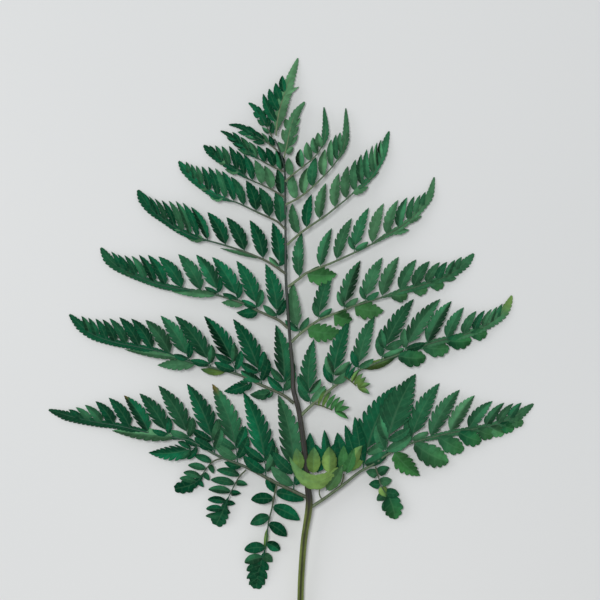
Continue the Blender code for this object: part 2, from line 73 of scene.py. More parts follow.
STEM_LINE = [(-5.5, -130), (-5, -90), (-4.5, -58), (-4, -43), (-2.4, -22), (0.6, -2), (0, 9), (-2, 31),
             (-5.4, 55), (-8.7, 68), (-9.2, 80), (-10.2, 92), (-11.4, 106), (-13.2, 134), (-13.4, 152),
             (-13.6, 176), (-13.8, 197), (-15, 205), (-18, 214), (-20.1, 218.4)]
STEM_RADII = ((-130, 1.8), (-15, 1.95), (-2, 2.2), (12, 1.8), (60, 1.5), (98, 0.95), (130, 0.85), (180, 0.6),
              (218.4, 0.45))
STEM_RADIUS_CUT = STEM_RADII[0][1]
# The stem's centre line rises from the cut end to the middle of the blade and falls again to its tip.
ARCH_HEIGHT = 14.0
ARCH_START, ARCH_FULL, ARCH_FALL = -130.0, 60.0, 175.0
ARCH_TOP_HEIGHT = 9.0

# The styles of leaflets. None is a plain one.
TURNED, PALE, BROWN, SLIVER, TIPPED = "turned", "pale", "brown", "sliver", "tipped"
OLIVE, FRESH, LOBE, DARK, BROAD = "olive", "fresh", "lobe", "dark", "broad"
STALK_ONLY, BLUNT, PAIRED, SHADED = "stalk only", "blunt", "paired", "shaded"


class Wing:
    """The blade along the outer part of a costa. start: the share of the costa where it starts. narrow: its
    half-widths in mm on the sides ahead and behind. tip: the share where its tip begins to taper. broad: its
    half-widths there. blunt: whether its tip is round. style: how it is coloured."""

    def __init__(self, start=0.42, narrow=(1.9, 2.4), tip=0.92, broad=(2.6, 3.6), blunt=False,
                 style=None):
        self.start, self.narrow, self.tip, self.broad = start, narrow, tip, broad
        self.blunt, self.style = blunt, style


class Pinna:
    """costa: its plan line, outwards. ahead: its leaflets on the side of the frond's tip, each (where its
    foot is, tip x, tip y, style if it has one). behind: those on the other side. run: the axis that says
    where on the costa a foot is. parent: the pinna that a sub-pinna stands on. tip: how high its tip is.
    light: how light its green is. plump: how broad its leaflets are. simple: no free lobes. smooth: 1 for
    leaflets without teeth. extras: loose leaves, each (foot x, y, z, tip x, y, z, width, bend, style)."""

    def __init__(self, costa, ahead, behind=(), run=X, parent=None, tip=0.0, light=0.0, plump=1.0,
                 simple=False, smooth=0.0, wing=None, extras=()):
        self.costa, self.ahead, self.behind, self.run, self.parent = costa, ahead, behind, run, parent
        self.tip, self.light, self.plump, self.simple, self.smooth = tip, light, plump, simple, smooth
        self.wing, self.extras = wing or Wing(), extras


# The two leaves nearest the stem on the lowest right pinna have curled over and show their undersides: a
# pale bowl with lobes standing up along its rim, dark ones at the back and yellow ones in front. The dark
# lobes at the back are partly their own deep green and partly painted shade behind the bowl, and the
# shaded leaf over the bowl's right half is painted darker olive as painted shade.
CURLED_LEAVES = [
    (8.4, 2.4, 12.2, 8.4, 11, 14.6, 1.4, 0.20, STALK_ONLY),
    (19.8, 11.4, 11.2, 21, 19.6, 14, 1.4, -0.1, STALK_ONLY),
    (1, 20, 11, 1.2, 42.4, 9.6, 7.4, 0, DARK),
    (12, 21, 11, 9.8, 44, 9.6, 6, 0, DARK),
    (21, 22, 11, 17.6, 42.4, 9.6, 8.4, 0, DARK),
    (6, 18, 11.2, 4.6, 35.4, 10.2, 11, 0, DARK),
    (14.8, 18, 11.2, 16.4, 36.4, 10.2, 11, 0, DARK),
    (26, 22, 11, 25, 38.4, 9.8, 8.4, 0, DARK),
    (-4.6, 20, 15.2, -7, 33.4, 15, 7, 0, OLIVE),
    (3, 18, 15.2, 3.6, 34, 15.4, 8.6, 0, OLIVE),
    (13, 18, 15.2, 12.6, 34.4, 15.4, 10, 0, TURNED),
    (20.6, 19, 15, 21.4, 35, 14.6, 6.4, 0, FRESH),
    (30, 22, 11.2, 22.2, 47, 10, 7, 0, DARK),
    (33, 23, 11.4, 28, 52, 10, 8, 0, DARK),
    (26, 21, 14.6, 32.6, 34.8, 14.2, 7.4, 0.1, TURNED),
    (23, 18, 15, 27.6, 33, 14.4, 6.4, 0, FRESH),
    (33, 25.6, 13.6, 19, 19.6, 14.6, 6, 0, OLIVE),
    (20.6, 23, 15.2, -11.2, 28.6, 16, 9.8, 0.39, TURNED),
    (10.6, 8, 15.6, 20.2, 23, 16.4, 7.6, -0.05, SHADED),
]

COMB_DROP = 0.8  # how much lower its far end is
COMB_FAN = 18  # how far its lobes turn outwards, in degrees
COMB_SHORTER = 0.28  # how much shorter they get
COMB_WIDTHS = (2.0, 1.3)  # the first lobe's width, and how much wider the last one is
COMB_BEND = 0.07
COMB_END_LOBES = ((0.92, 18), (0.90, -28))  # where the last two stand, and their angles


def comb(start, end, height, lobes, reach, lean, foot_style, tip_style):
    """A broken-up leaflet, as extras: a short stalk with narrow lobes along its upper side and two at its
    end. reach: how long the lobes are. lean: the first lobe's angle to the +X axis, in degrees."""
    start, end = np.array(start), np.array(end)
    leaves = [(*start, height, *end, height - COMB_DROP, 1.0, 0.04, STALK_ONLY)]
    spots = [(k + 0.5) / lobes for k in range(lobes)]
    placed = [(spot, lean - COMB_FAN * spot) for spot in spots]
    for spot, turn in [*placed, *COMB_END_LOBES]:
        foot = start + (end - start) * spot
        way = np.array((math.cos(math.radians(turn)), math.sin(math.radians(turn))))
        tip = foot + reach * (1 - COMB_SHORTER * spot) * way
        width = COMB_WIDTHS[0] + COMB_WIDTHS[1] * spot
        style = foot_style if spot < 0.5 else tip_style
        leaves.append((*foot, height + 0.2 - COMB_DROP * spot, *tip, height - 0.2 - spot, width, COMB_BEND,
                       style))
    return leaves


PINNAE = {
    "terminal_leaf": Pinna(
        [(-19.2, 220.4), (-18.4, 229), (-16.8, 237), (-14.4, 245.4), (-12, 252.6), (-9.6, 259), (-6, 268)],
        [(228.5, -27, 246, DARK), (235, -23.4, 249, DARK), (241, -19.5, 252.6, DARK),
         (246, -15.4, 257, DARK)],
        [(230, -12.6, 240.5, PALE), (239, -11.4, 247.4, PALE), (244.5, -5.4, 250.2, SLIVER)],
        run=Y, light=1.5, simple=True, wing=Wing(0.0, (2.8, 4.6), 0.70, (2.2, 3.4))),

    "pinna_left_9": Pinna(
        [(-21.4, 219.6), (-24.6, 225.4), (-28.4, 232.6), (-32.4, 237.6), (-36, 240.6)],
        [(-22.4, -21.6, 229.2), (-24.6, -24, 232.4), (-27.4, -26.8, 236), (-30, -29.8, 238.4)],
        [(-22.8, -27.6, 225.8), (-25.6, -30.6, 230.4), (-28.6, -33, 234.6)], tip=4, simple=True,
        wing=Wing(0.20, (2.6, 1.8), 0.70, (2.2, 1.8))),
    "pinna_left_8": Pinna(
        [(-18.2, 211.2), (-23.4, 215.4), (-30, 219.6), (-36.6, 224), (-42, 226.4), (-48, 227.4)],
        [(-21, -23.6, 221), (-23.8, -28, 222.4), (-26.5, -31.5, 223.4), (-31, -36, 226.6)],
        [(-25.4, -33.5, 217.2), (-29.4, -38, 220.4), (-34, -42.5, 223)], tip=3, simple=True,
        wing=Wing(0.25, (2.2, 1.8), 0.72, (1.9, 1.7))),
    "pinna_left_7": Pinna(
        [(-14.4, 198.6), (-19.8, 201), (-27.6, 205.2), (-35.4, 211), (-43, 217.4), (-48, 221.4), (-53, 224)],
        [(-16.4, -19.4, 211.8), (-20.8, -25.4, 213.6), (-25.4, -30.6, 214.8), (-30.4, -35.6, 217),
         (-35.6, -40.6, 220), (-41, -45.6, 223)],
        [(-33, -42.6, 213), (-38.6, -45.6, 216.4), (-43.4, -49, 219.8)], simple=True,
        wing=Wing(0.30, (2.0, 2.2), 0.76, (2.0, 2.0))),
    "pinna_left_6": Pinna(
        [(-13.5, 183), (-21, 187.4), (-27.6, 190.8), (-35, 194), (-41, 198.4), (-50, 204), (-55.4, 208.2),
         (-63, 215.4)],
        [(-16.2, -18.6, 200.6), (-22, -26.2, 202.6, PALE), (-28, -32, 206, PALE), (-33.6, -38.6, 209.4),
         (-38.2, -43, 211.8), (-42.8, -47.6, 214.6), (-47.6, -52, 214.6), (-52, -56, 215),
         (-56, -59.4, 215)],
        [(-41, -50, 200.4, SLIVER), (-49, -56, 206, SLIVER)], simple=True,
        wing=Wing(0.35, (1.5, 2.2), 0.88, (2.2, 2.8))),
    "pinna_left_5": Pinna(
        [(-13.2, 163.8), (-18, 168.4), (-24, 171.4), (-31.8, 175), (-40.8, 179.4), (-47, 181.6),
         (-56, 185), (-65, 191.4), (-71, 197), (-78, 205.8)],
        [(-16.4, -19.6, 187.6), (-22.8, -29.4, 189.6), (-30.6, -37.2, 193.6), (-38.6, -46.4, 196),
         (-44.2, -51.8, 199.4), (-49.4, -55.8, 201), (-54.6, -60, 202), (-59.6, -64, 202.4),
         (-64, -67.6, 203), (-68, -70.6, 203.8), (-71.6, -73.6, 205.2)],
        [(-50, -59, 183.4, SLIVER), (-60, -67.6, 190.6, SLIVER)], simple=True,
        wing=Wing(0.40, (1.5, 2.4), 0.90, (2.2, 3.0))),
    "pinna_left_4": Pinna(
        [(-13.2, 137.4), (-19.8, 142), (-26, 145.6), (-37.8, 150.6), (-50, 154.6), (-60, 157.4),
         (-68, 159.6), (-77, 163.8), (-86, 169.8), (-95, 177.2), (-102.6, 188.4)],
        [(-17.4, -21.4, 168.4), (-27, -35, 169.8), (-37.8, -49, 171.6), (-49.4, -60.4, 174.6),
         (-59.6, -70.4, 177.8), (-65.6, -75.4, 180.4), (-70.6, -79.6, 181.4), (-75.4, -83.8, 181.6),
         (-80.4, -88.2, 182), (-85.2, -92.4, 183), (-90, -96, 184.4), (-94.6, -99.4, 186.4)],
        [(-28, -53, 153, SLIVER), (-62, -73.4, 159.6, SLIVER), (-76, -85, 166.4, SLIVER)]),
    "pinna_left_3": Pinna(
        [(-12, 105), (-18, 110), (-29.4, 115), (-38, 119.4), (-51.6, 124), (-65, 127), (-83, 129.6),
         (-95, 133), (-107, 138), (-117.6, 144.4), (-125, 153.6)],
        [(-18.8, -25.6, 143.6), (-30, -43, 145.4), (-42, -57.6, 147.6), (-53.4, -67.2, 149),
         (-64.4, -78, 149.4), (-75.6, -90, 148), (-85.2, -96.4, 149), (-92, -101.8, 149),
         (-97.8, -106.2, 148.4), (-103.2, -110.6, 148.8), (-108.4, -114.8, 149.4), (-113, -118.6, 151)],
        [(-29.6, -43, 114.4), (-38, -52, 120.4, SLIVER), (-54, -82, 127, SLIVER), (-104, -113.6, 139.8)]),
    "pinna_left_2": Pinna(
        [(-8.4, 60), (-15, 65), (-27.6, 70.8), (-41, 77), (-56, 81), (-71, 84.8), (-89, 90.8), (-104, 94),
         (-117.6, 96.8), (-131, 102), (-144, 113.4)],
        [(-15, -19.4, 107), (-28, -45, 110.4), (-43, -62.4, 112.2), (-58, -80, 112.2), (-71, -88.6, 112.4),
         (-82.4, -97.8, 109.8), (-93, -106.4, 110.6), (-101.6, -113.6, 111.4), (-109.4, -119.6, 110.8),
         (-116, -123.8, 110.2), (-121.6, -128, 110.6), (-126.8, -132.4, 111.2), (-131.6, -136.6, 112.2)],
        [(-20, -35, 65, PAIRED), (-33, -50.6, 67, PAIRED), (-67, -90.6, 82.6, SLIVER),
         (-77, -110.4, 92, SLIVER)],
        extras=[(-48.6, 80.0, 7.6, -64.5, 80.4, 6.4, 5.0, 0.08, OLIVE)]),

    "pinna_left_1": Pinna(
        [(-0.6, 3.6), (-9.6, 7.8), (-18.6, 12), (-36.6, 21.4), (-54, 28.4), (-71, 37.4), (-89, 40.4),
         (-113, 46), (-126, 48), (-140, 51), (-156.6, 55.8)],
        [(-9, -18, 64.8), (-25.2, -39, 66.6), (-42.4, -57.6, 71.4, BROWN), (-55.4, -72.8, 71.4),
         (-71.4, -90, 70.4), (-84, -101.4, 65.6), (-96, -110.8, 64.4, BROWN), (-106.8, -120, 63),
         (-116.4, -128, 60.8), (-124.4, -134.4, 58.6), (-131, -140, 57.2), (-137, -144.4, 55.8)],
        [(-25.4, -20.4, 6), (-39.5, -50.4, 24.4), (-64.4, -96, 30, PAIRED), (-80, -118, 43.2, SLIVER)]),
    "sub_pinna_left_b": Pinna(
        [(-51.6, 27), (-57, 25), (-61.8, 19.6), (-65, 14.4), (-71, 10.4), (-81, 7.8)],
        [(24.4, -68.4, 28.2), (20, -72.2, 22.4), (15.6, -75, 18), (12.6, -77.4, 14.4)],
        [(22.6, -57, 17.4), (18, -59.4, 13.2), (13, -62.8, 9.2), (10.4, -70, 5.8)],
        run=Y, parent="pinna_left_1", plump=0.72, simple=True, smooth=1.0,
        wing=Wing(0.35, (1.6, 1.6), 0.72, (4.2, 4.2), True)),
    "sub_pinna_left_c": Pinna(
        [(-36.6, 20.4), (-40.8, 16.4), (-43.8, 11.4), (-46.2, 6.6), (-48.6, 1.4), (-52, -7), (-55.8, -14.4)],
        [(16.4, -55, 19.6), (11.6, -58.6, 13.6), (7, -60, 7.8), (1, -60.4, 1.6), (-4.2, -61.4, -4),
         (-8.6, -61.8, -8.4)],
        [(12.4, -36.4, 10.6), (6, -40.4, 5.4), (0, -43.8, -1), (-5, -46.8, -6.6), (-9, -49.8, -11)],
        run=Y, parent="pinna_left_1", plump=0.75, simple=True, smooth=1.0,
        wing=Wing(0.45, (1.6, 1.6), 0.80, (5.2, 5.0), True)),
    "sub_pinna_left_d": Pinna(
        [(-18.6, 11.4), (-20.4, 3.6), (-21.6, -3), (-23.4, -10), (-24.2, -16), (-24.8, -22), (-25.8, -28),
         (-27.6, -34), (-30, -43), (-31.2, -52.8)],
        [(2.6, -34.2, 1.6), (-8, -34.8, -13), (-27, -38.4, -28.6), (-33.4, -38.2, -36.4),
         (-37.6, -37, -41.4), (-42, -37, -46.2), (-46, -35.6, -50)],
        [(6.4, -2.4, 1.6), (-2, -5, -10.6), (-12, -12.8, -20.4), (-24.4, -17, -29), (-31.4, -21.4, -36),
         (-36.4, -24, -41), (-41, -24.8, -46.4), (-45.4, -26.2, -50)],
        run=Y, parent="pinna_left_1", plump=1.1, simple=True, smooth=1.0,
        wing=Wing(0.55, (1.6, 1.6), 0.84, (5.0, 5.0), True),
        extras=[(-24.6, -15.5, 7.5, -26, -29.6, 4.5, 2.8, 0.0, TURNED)]),

    "pinna_right_8": Pinna(
        [(-14.4, 207), (-12.6, 214.8), (-10.8, 223.8), (-7.8, 233), (-1.8, 241.2)],
        [(210.4, -18, 217), (218, -15.4, 224.6, PALE), (225, -13.6, 231, PALE)],
        [(210, -8.8, 214, PALE), (214, -6, 221.2), (219.6, -5.6, 226.4, PALE), (225.6, -4.6, 231.4, PALE),
         (230.6, -4.4, 236, PALE)],
        run=Y, tip=5, light=1.3, simple=True, wing=Wing(0.06, (2.8, 3.2), 0.70, (2.4, 2.8))),
    "pinna_right_7": Pinna(
        [(-13.8, 192.6), (-9, 197), (-3, 201.6), (3, 206.6), (7.2, 211.8), (9.8, 218), (10.6, 226),
         (9.6, 238.2)],
        [(196.6, -11.8, 207.4, PALE), (201, -4.6, 212.6), (205.6, -0.8, 216.8), (209.6, 3, 219.6),
         (213.4, 6, 222.6)],
        run=Y, tip=3, light=0.6, plump=0.9, simple=True, smooth=0.3,
        wing=Wing(0.45, (1.2, 0.8), 0.68, (2.5, 2.3))),
    "pinna_right_6": Pinna(
        [(-13.5, 178.8), (-6, 182.6), (1.2, 188), (8.4, 195), (14.4, 201.4), (19.6, 209), (22.2, 217),
         (23, 225), (22.8, 237.6)],
        [(182, -9.8, 198, PALE), (184.6, -0.2, 201.2, PALE), (189.4, 4.8, 207.6), (196, 10.4, 212.4),
         (201.4, 14, 218.4), (205.4, 16.8, 221.4), (210, 19.4, 222.8)],
        run=Y, tip=2, light=0.6, plump=0.9, simple=True, smooth=0.3,
        wing=Wing(0.45, (1.2, 0.8), 0.72, (2.6, 2.4))),
    "pinna_right_5": Pinna(
        [(-12.6, 154.8), (-7.8, 159), (-3, 163), (4.2, 168), (10.2, 172), (16.2, 176.8), (22.2, 181.6),
         (28.2, 186.8), (35.6, 193), (41, 200.6), (45.4, 210), (49.2, 223.8)],
        [(161, -9.4, 180), (164.4, 2.2, 185.4), (170, 10.8, 192), (176.6, 18.6, 198, PALE),
         (182.4, 24, 202.4), (186.8, 28.6, 206.4), (190.4, 32, 209.6), (193.8, 35.4, 212.6),
         (197.6, 38.8, 215), (201.8, 41.6, 216.8), (206.6, 44, 218.4)],
        [(185.6, 36.4, 190, SLIVER), (194, 42.8, 199, SLIVER)], run=Y, light=0.5, plump=0.80, simple=True,
        wing=Wing(0.45, (2.2, 1.3), 0.84, (3.8, 2.2))),
    "pinna_right_4": Pinna(
        [(-12, 129.6), (-4.2, 135.4), (0, 138.4), (13.2, 143.6), (22.2, 147.6), (31.2, 151.8), (38.4, 155.4),
         (46.2, 160.2), (55.2, 165.4), (62.6, 171.4), (69, 178.6), (73, 185), (76.2, 196.2)],
        [(-4.6, -3.6, 162.6), (7.4, 14.4, 165), (16.8, 26.4, 171), (27.4, 36.6, 177.4), (38.4, 45.6, 180),
         (47.4, 54.2, 182), (54.4, 59.6, 183.6), (60.4, 64, 184.4), (64.8, 67.6, 185.2), (68.4, 70.8, 187)],
        [(-1.6, 17.4, 137.4, FRESH), (50, 61, 164, SLIVER), (60, 68.6, 172.4, SLIVER)],
        light=0.55, plump=0.78, wing=Wing(0.42, (1.7, 2.0), 0.88, (2.2, 2.8))),
    "pinna_right_3": Pinna(
        [(-9.9, 96.6), (-4.8, 101.6), (5.4, 109.2), (13.2, 112.6), (22.2, 116), (26.4, 117.8), (37.2, 121.2),
         (46.2, 124), (55.2, 127), (62.4, 129), (70.2, 131.2), (79.2, 134.4), (86.4, 138), (93, 143),
         (100.2, 150)],
        [(-4.6, -8.8, 133), (6.8, 14.4, 138.6), (21.6, 31.6, 145.6), (33.8, 44.8, 147.4),
         (44.4, 54.6, 147.8), (55.2, 65.2, 146.2), (63.6, 73.2, 145.2), (71.4, 79.4, 144.6),
         (77.6, 83.8, 144.8), (83.4, 88.6, 146), (88.6, 92.6, 147.8)],
        [(-1, 20.6, 102.6, FRESH), (14.6, 26.8, 110, FRESH), (26.8, 45.6, 115.4, FRESH),
         (49, 60, 124.8, BLUNT), (62, 72, 128, BLUNT), (73, 82, 131, BLUNT), (81.6, 89.4, 135)],
        light=0.5, plump=0.92),
    "pinna_right_2": Pinna(
        [(-4.8, 52.2), (1.8, 58.6), (13.8, 68.6), (20.4, 73.6), (32.4, 80.6), (42, 84.6), (52.2, 88.4),
         (61.2, 91.8), (70.2, 94.8), (79.2, 97.4), (88.2, 99.4), (97.2, 102), (106.2, 106), (114.6, 111.6),
         (119.6, 118), (123, 124.8)],
        [(2, 3.6, 98.4), (14.6, 25, 109.8), (29.8, 40.2, 112.4), (43.4, 63.6, 122.4), (57.6, 79.6, 122.4),
         (71.6, 86.4, 121.2), (83, 93.8, 117.4), (93, 101.4, 115.2), (99.6, 106.4, 115.6),
         (105, 110.6, 116.4), (109.6, 114, 117.8), (113.6, 117.2, 119.6)],
        [(53, 71, 87.4, BLUNT), (68, 85, 93, BLUNT), (82, 98.6, 97.6, BLUNT), (97, 108, 101.8, BLUNT)],
        light=0.42, plump=0.92, wing=Wing(style=TIPPED), extras=[
            (31.4, 81.4, 8.6, 53.4, 88.4, 6.6, 5.6, -0.06, OLIVE),
            *comb((2.4, 60), (17.4, 54.4), 13.6, 6, 12.4, 68, OLIVE, FRESH),
            *comb((21.6, 76), (30.6, 68.6), 14.4, 5, 10.8, 68, DARK, OLIVE)]),
    "pinna_right_1": Pinna(
        [(0.6, -3), (8.4, 2), (13.2, 5.4), (22.2, 12), (31.2, 19), (40.8, 24.2), (46.2, 28.4), (55.2, 33),
         (62.4, 36), (73.2, 39), (85.2, 41.8), (97.2, 43.8), (109.2, 45.8), (116, 48), (125, 52),
         (136.2, 59.4)],
        [(32.6, 52.8, 70.2, BROAD), (46.4, 64.8, 77.4, BROAD),
         (61.2, 79.2, 71.8), (73.6, 91.4, 67.8), (85.4, 100.4, 64.4), (96.4, 111.2, 61), (106.8, 118.4, 60),
         (114.4, 123.8, 59.6), (120.8, 128.8, 60)],
        [(52, 67.4, 16, FRESH), (63, 84.6, 24.4, BLUNT), (78, 94, 31.6, BLUNT), (90.6, 104.6, 37, BLUNT),
         (101.6, 112.2, 40.2, BLUNT), (109.4, 118.4, 41.4, BLUNT), (115.4, 124.4, 44.2, BLUNT),
         (121.6, 130, 47.8, BLUNT)],
        light=0.45, plump=0.98, extras=CURLED_LEAVES),
    "sub_pinna_right_e": Pinna(
        [(40.2, 22.4), (42, 16.8), (43.6, 10.8), (46.2, 6.6), (49.2, 1.2), (50.4, -9.6)],
        [(17.6, 49, 21), (12, 50.6, 13.4), (5.6, 55, 4.4), (0.8, 55.8, -3.2)],
        [(17, 34.8, 18.6), (11, 36.6, 10.8), (5, 41.4, 1), (0.4, 45, -5.2)],
        run=Y, parent="pinna_right_1", light=0.3, plump=1.15, simple=True, smooth=0.8,
        wing=Wing(0.45, (1.6, 1.6), 0.74, (3.4, 3.4), True),
        extras=[(43.8, 10.0, 6.4, 47.0, 3.4, 6.0, 6.4, 0.0, TURNED),
                (47.6, 5.6, 5.2, 52.4, -10.2, 3.4, 12.4, 0.05, BLUNT)]),
}

# ---- Lines and heights ----


def ease(t):
    """0 to 1 with a level start and end."""
    t = np.clip(t, 0.0, 1.0)
    return t * t * (3 - 2 * t)


def unit(v):
    """The vectors at length one."""
    return v / np.maximum(np.linalg.norm(v, axis=-1, keepdims=True), 1e-9)


def raised(plan, heights):
    """The plan's points at these heights."""
    return np.concatenate([plan, heights[:, None]], 1)


def smooth_line(points, step=1.0):
    """A Catmull-Rom curve through the points, read about every step."""
    points = [np.array(p, float) for p in points]
    padded = [2 * points[0] - points[1], *points, 2 * points[-1] - points[-2]]
    line = []
    for a, b, c, d in zip(padded, padded[1:], padded[2:], padded[3:]):
        count = max(1, round(float(np.linalg.norm(c - b)) / step))
        for i in range(count):
            t = i / count
            line.append(0.5 * (2 * b + (c - a) * t + (2 * a - 5 * b + 4 * c - d) * t ** 2
                               + (3 * b - a - 3 * c + d) * t ** 3))
    line.append(points[-1])
    return np.array(line)


class Route:
    """A line in the plan that can be read at any length along it."""

    def __init__(self, points):
        self.points = smooth_line(points)
        steps = np.linalg.norm(np.diff(self.points, axis=0), axis=1)
        self.lengths = np.concatenate([[0.0], np.cumsum(steps)])
        self.length = float(self.lengths[-1])
        # The side of the frond's tip is on the left of the costas that run to the right.
        self.ahead_is_left = self.points[-1][X] > self.points[0][X]

    def at(self, s):
        """The points at these lengths."""
        return np.stack([np.interp(s, self.lengths, self.points[:, axis]) for axis in (X, Y)], -1)

    def along(self, s, reach=1.5):
        """The way it runs there."""
        return unit(self.at(min(s + reach, self.length)) - self.at(max(s - reach, 0)))

    def where(self, axis, value):
        """The length at which its x or y comes nearest to the value."""
        return float(self.lengths[np.abs(self.points[:, axis] - value).argmin()])


def stem_height(y):
    """The height of the stem's centre line."""
    rise = (ARCH_HEIGHT - STEM_RADIUS_CUT) * ease((y - ARCH_START) / (ARCH_FULL - ARCH_START))
    fall = (ARCH_HEIGHT - ARCH_TOP_HEIGHT) * ease((y - ARCH_FALL) / (STEM_LINE[-1][Y] - ARCH_FALL))
    return STEM_RADIUS_CUT + rise - fall


def stem_radius(y):
    """How thick the stem is."""
    return np.interp(y, *zip(*STEM_RADII))


# Where the plan's own zero is in the frame, found from the cut end and from the leftmost tip.
PLAN_ZERO = np.array((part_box("pinna_left_1")[0].x - PINNAE["pinna_left_1"].costa[-1][X] * MM,
                      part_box("stem")[0].y - STEM_LINE[0][Y] * MM, 0.0))

# ---- Growing surfaces ----

SHARP_ANGLE = math.radians(55)


def add_object(name, data):
    """A new object in the scene."""
    item = bpy.data.objects.new(name, data)
    bpy.context.scene.collection.objects.link(item)
    return item


class Skin:
    """Gathers surfaces in plan millimetres and makes one object of them."""

    def __init__(self, name):
        self.name, self.count = name, 0
        self.points, self.faces, self.colours, self.places, self.under = [], [], [], [], []

    def add(self, points, faces, colours, places, under):
        """faces: lists of quads and triangles. places: per point, across, tooth count and share of the
        length. under: per face, whether it is on the lower side."""
        self.points.append(points)
        self.colours.append(np.broadcast_to(colours, (len(points), 3)))
        self.places.append(places)
        self.faces += [tuple(int(i) + self.count for i in face) for face in faces]
        self.under.append(under)
        self.count += len(points)

    def make(self, material):
        """The object, with what its material reads: each point's colour and place, and each face's side."""
        points = np.concatenate(self.points) * MM + PLAN_ZERO
        mesh = bpy.data.meshes.new(self.name)
        mesh.from_pydata(points.tolist(), [], self.faces)
        colours = np.concatenate(self.colours)
        colours = np.concatenate([colours, np.ones((len(colours), 1))], 1)
        for name, kind, domain, key, values in (
                ("colour", "FLOAT_COLOR", "POINT", "color", colours),
                ("place", "FLOAT_VECTOR", "POINT", "vector", np.concatenate(self.places)),
                ("under", "FLOAT", "FACE", "value", np.concatenate(self.under))):
            attribute = mesh.attributes.new(name, kind, domain)
            attribute.data.foreach_set(key, values.astype(np.float32).ravel())
        mesh.shade_smooth()
        mesh.set_sharp_from_angle(angle=SHARP_ANGLE)
        mesh.materials.append(material)
        return add_object(self.name, mesh)


COLUMNS = np.array([-1.0, -0.74, -0.42, -0.1, 0.0, 0.1, 0.42, 0.74, 1.0])  # a blade's points across
LEAF_THICKNESS = 0.32
LOWEST = 0.3  # a leaf's middle surface never lies lower than this
MIDRIB_SHARE = 0.2  # how far from the midrib its two halves have their full colours, including the painted sheen that lightens one half


def blade_faces(rows):
    """The faces of a blade with this many rows of points round it, a foot and a tip, and which of them are
    underneath."""
    last = len(COLUMNS) - 1
    upper = list(range(last + 1))
    lower = [0, *range(last + 1, 2 * last), last]
    width = 2 * last
    foot, tip = rows * width, rows * width + 1
    faces, under = [], []
    for ring, side in ((upper, 0), (lower, 1)):
        for a, b in zip(ring, ring[1:]):
            strip = [(i * width + a, (i + 1) * width + a, (i + 1) * width + b, i * width + b)
                     for i in range(rows - 1)]
            strip += [(foot, a, b), (tip, (rows - 1) * width + b, (rows - 1) * width + a)]
            faces += [face[::-1] for face in strip] if side else strip
            under += [side] * len(strip)
    return faces, under


def add_blade(skin, centre, across, widths, phase, share, colour, fold=0.1, sweep=0.7, quilt=0.18, curl=0.0,
              half_sheen=0.0):
    """One thin leaf blade. centre: its midline. across: the way to its left edge. widths: its half-widths on
    the left and right, by row. phase: how many teeth have passed. fold: the slope of its two halves. sweep:
    how far its veins lean forwards. quilt: how far it swells between veins. curl: how far it rolls up.
    half_sheen: how much lighter its left half is painted and its right half darker, a painted sheen as if
    light fell on one side of its fold."""
    along = unit(np.gradient(centre, axis=0))
    normal = unit(np.cross(along, across))
    v = COLUMNS[None, :]
    width = np.where(v > 0, widths[:, :1], widths[:, 1:])
    reach = np.abs(v)
    out = reach * width
    fullest = float(widths.max())
    if curl:
        angle = v * curl
        aside = width * np.sin(angle) / abs(curl)
        lift = width * (1 - np.cos(angle)) / curl
    else:
        aside = v * width
        lift = fold * out
    tooth = phase[:, None] + np.where(v < 0, 0.5, 0.0)
    swell = quilt * np.sin(np.pi * tooth) ** 2 * np.sin(np.pi * reach) * np.minimum(1, width / 3)
    push = sweep * out * (0.85 + 0.15 * out / fullest)
    middle = (centre[:, None, :] + across[:, None, :] * aside[..., None]
              + along[:, None, :] * push[..., None] + normal[:, None, :] * (lift - swell)[..., None])
    middle[..., 2] = np.maximum(middle[..., 2], LOWEST)
    half = (LEAF_THICKNESS / 2) * normal[:, None, :]
    upper, lower = middle + half, middle - half
    upper[:, (0, -1)] = middle[:, (0, -1)]
    rows = len(centre)
    ring = np.concatenate([upper, lower[:, 1:-1]], 1)
    foot, tip = centre[:1] - along[:1] * 0.05, centre[-1:] + along[-1:] * 0.25
    points = np.concatenate([ring.reshape(-1, 3), foot, tip])
    points[-2:, 2] = np.maximum(points[-2:, 2], LOWEST)
    wide = np.broadcast_to(v, middle.shape[:2])
    wide = np.concatenate([wide, wide[:, 1:-1]], 1)
    grid = np.stack([wide, phase[:, None] + np.where(wide < 0, 0.5, 0.0),
                     np.broadcast_to(share[:, None], wide.shape)], -1)
    places = np.concatenate([grid.reshape(-1, 3), [[0, 0, share[0]], [0, 0, share[-1]]]])
    # Painted sheen: one half of the blade is lighter and the other darker, as if light fell on one side of
    # its fold.
    shaded = colour[:, None, :] * (1 + half_sheen * np.sign(wide) * ease(np.abs(wide) / MIDRIB_SHARE))[..., None]
    colours = np.concatenate([shaded.reshape(-1, 3), colour[:1], colour[-1:]])
    faces, under = blade_faces(rows)
    skin.add(points, faces, colours, places, under)


GROOVE_NARROW = 3.2  # how narrow the groove along a stalk is


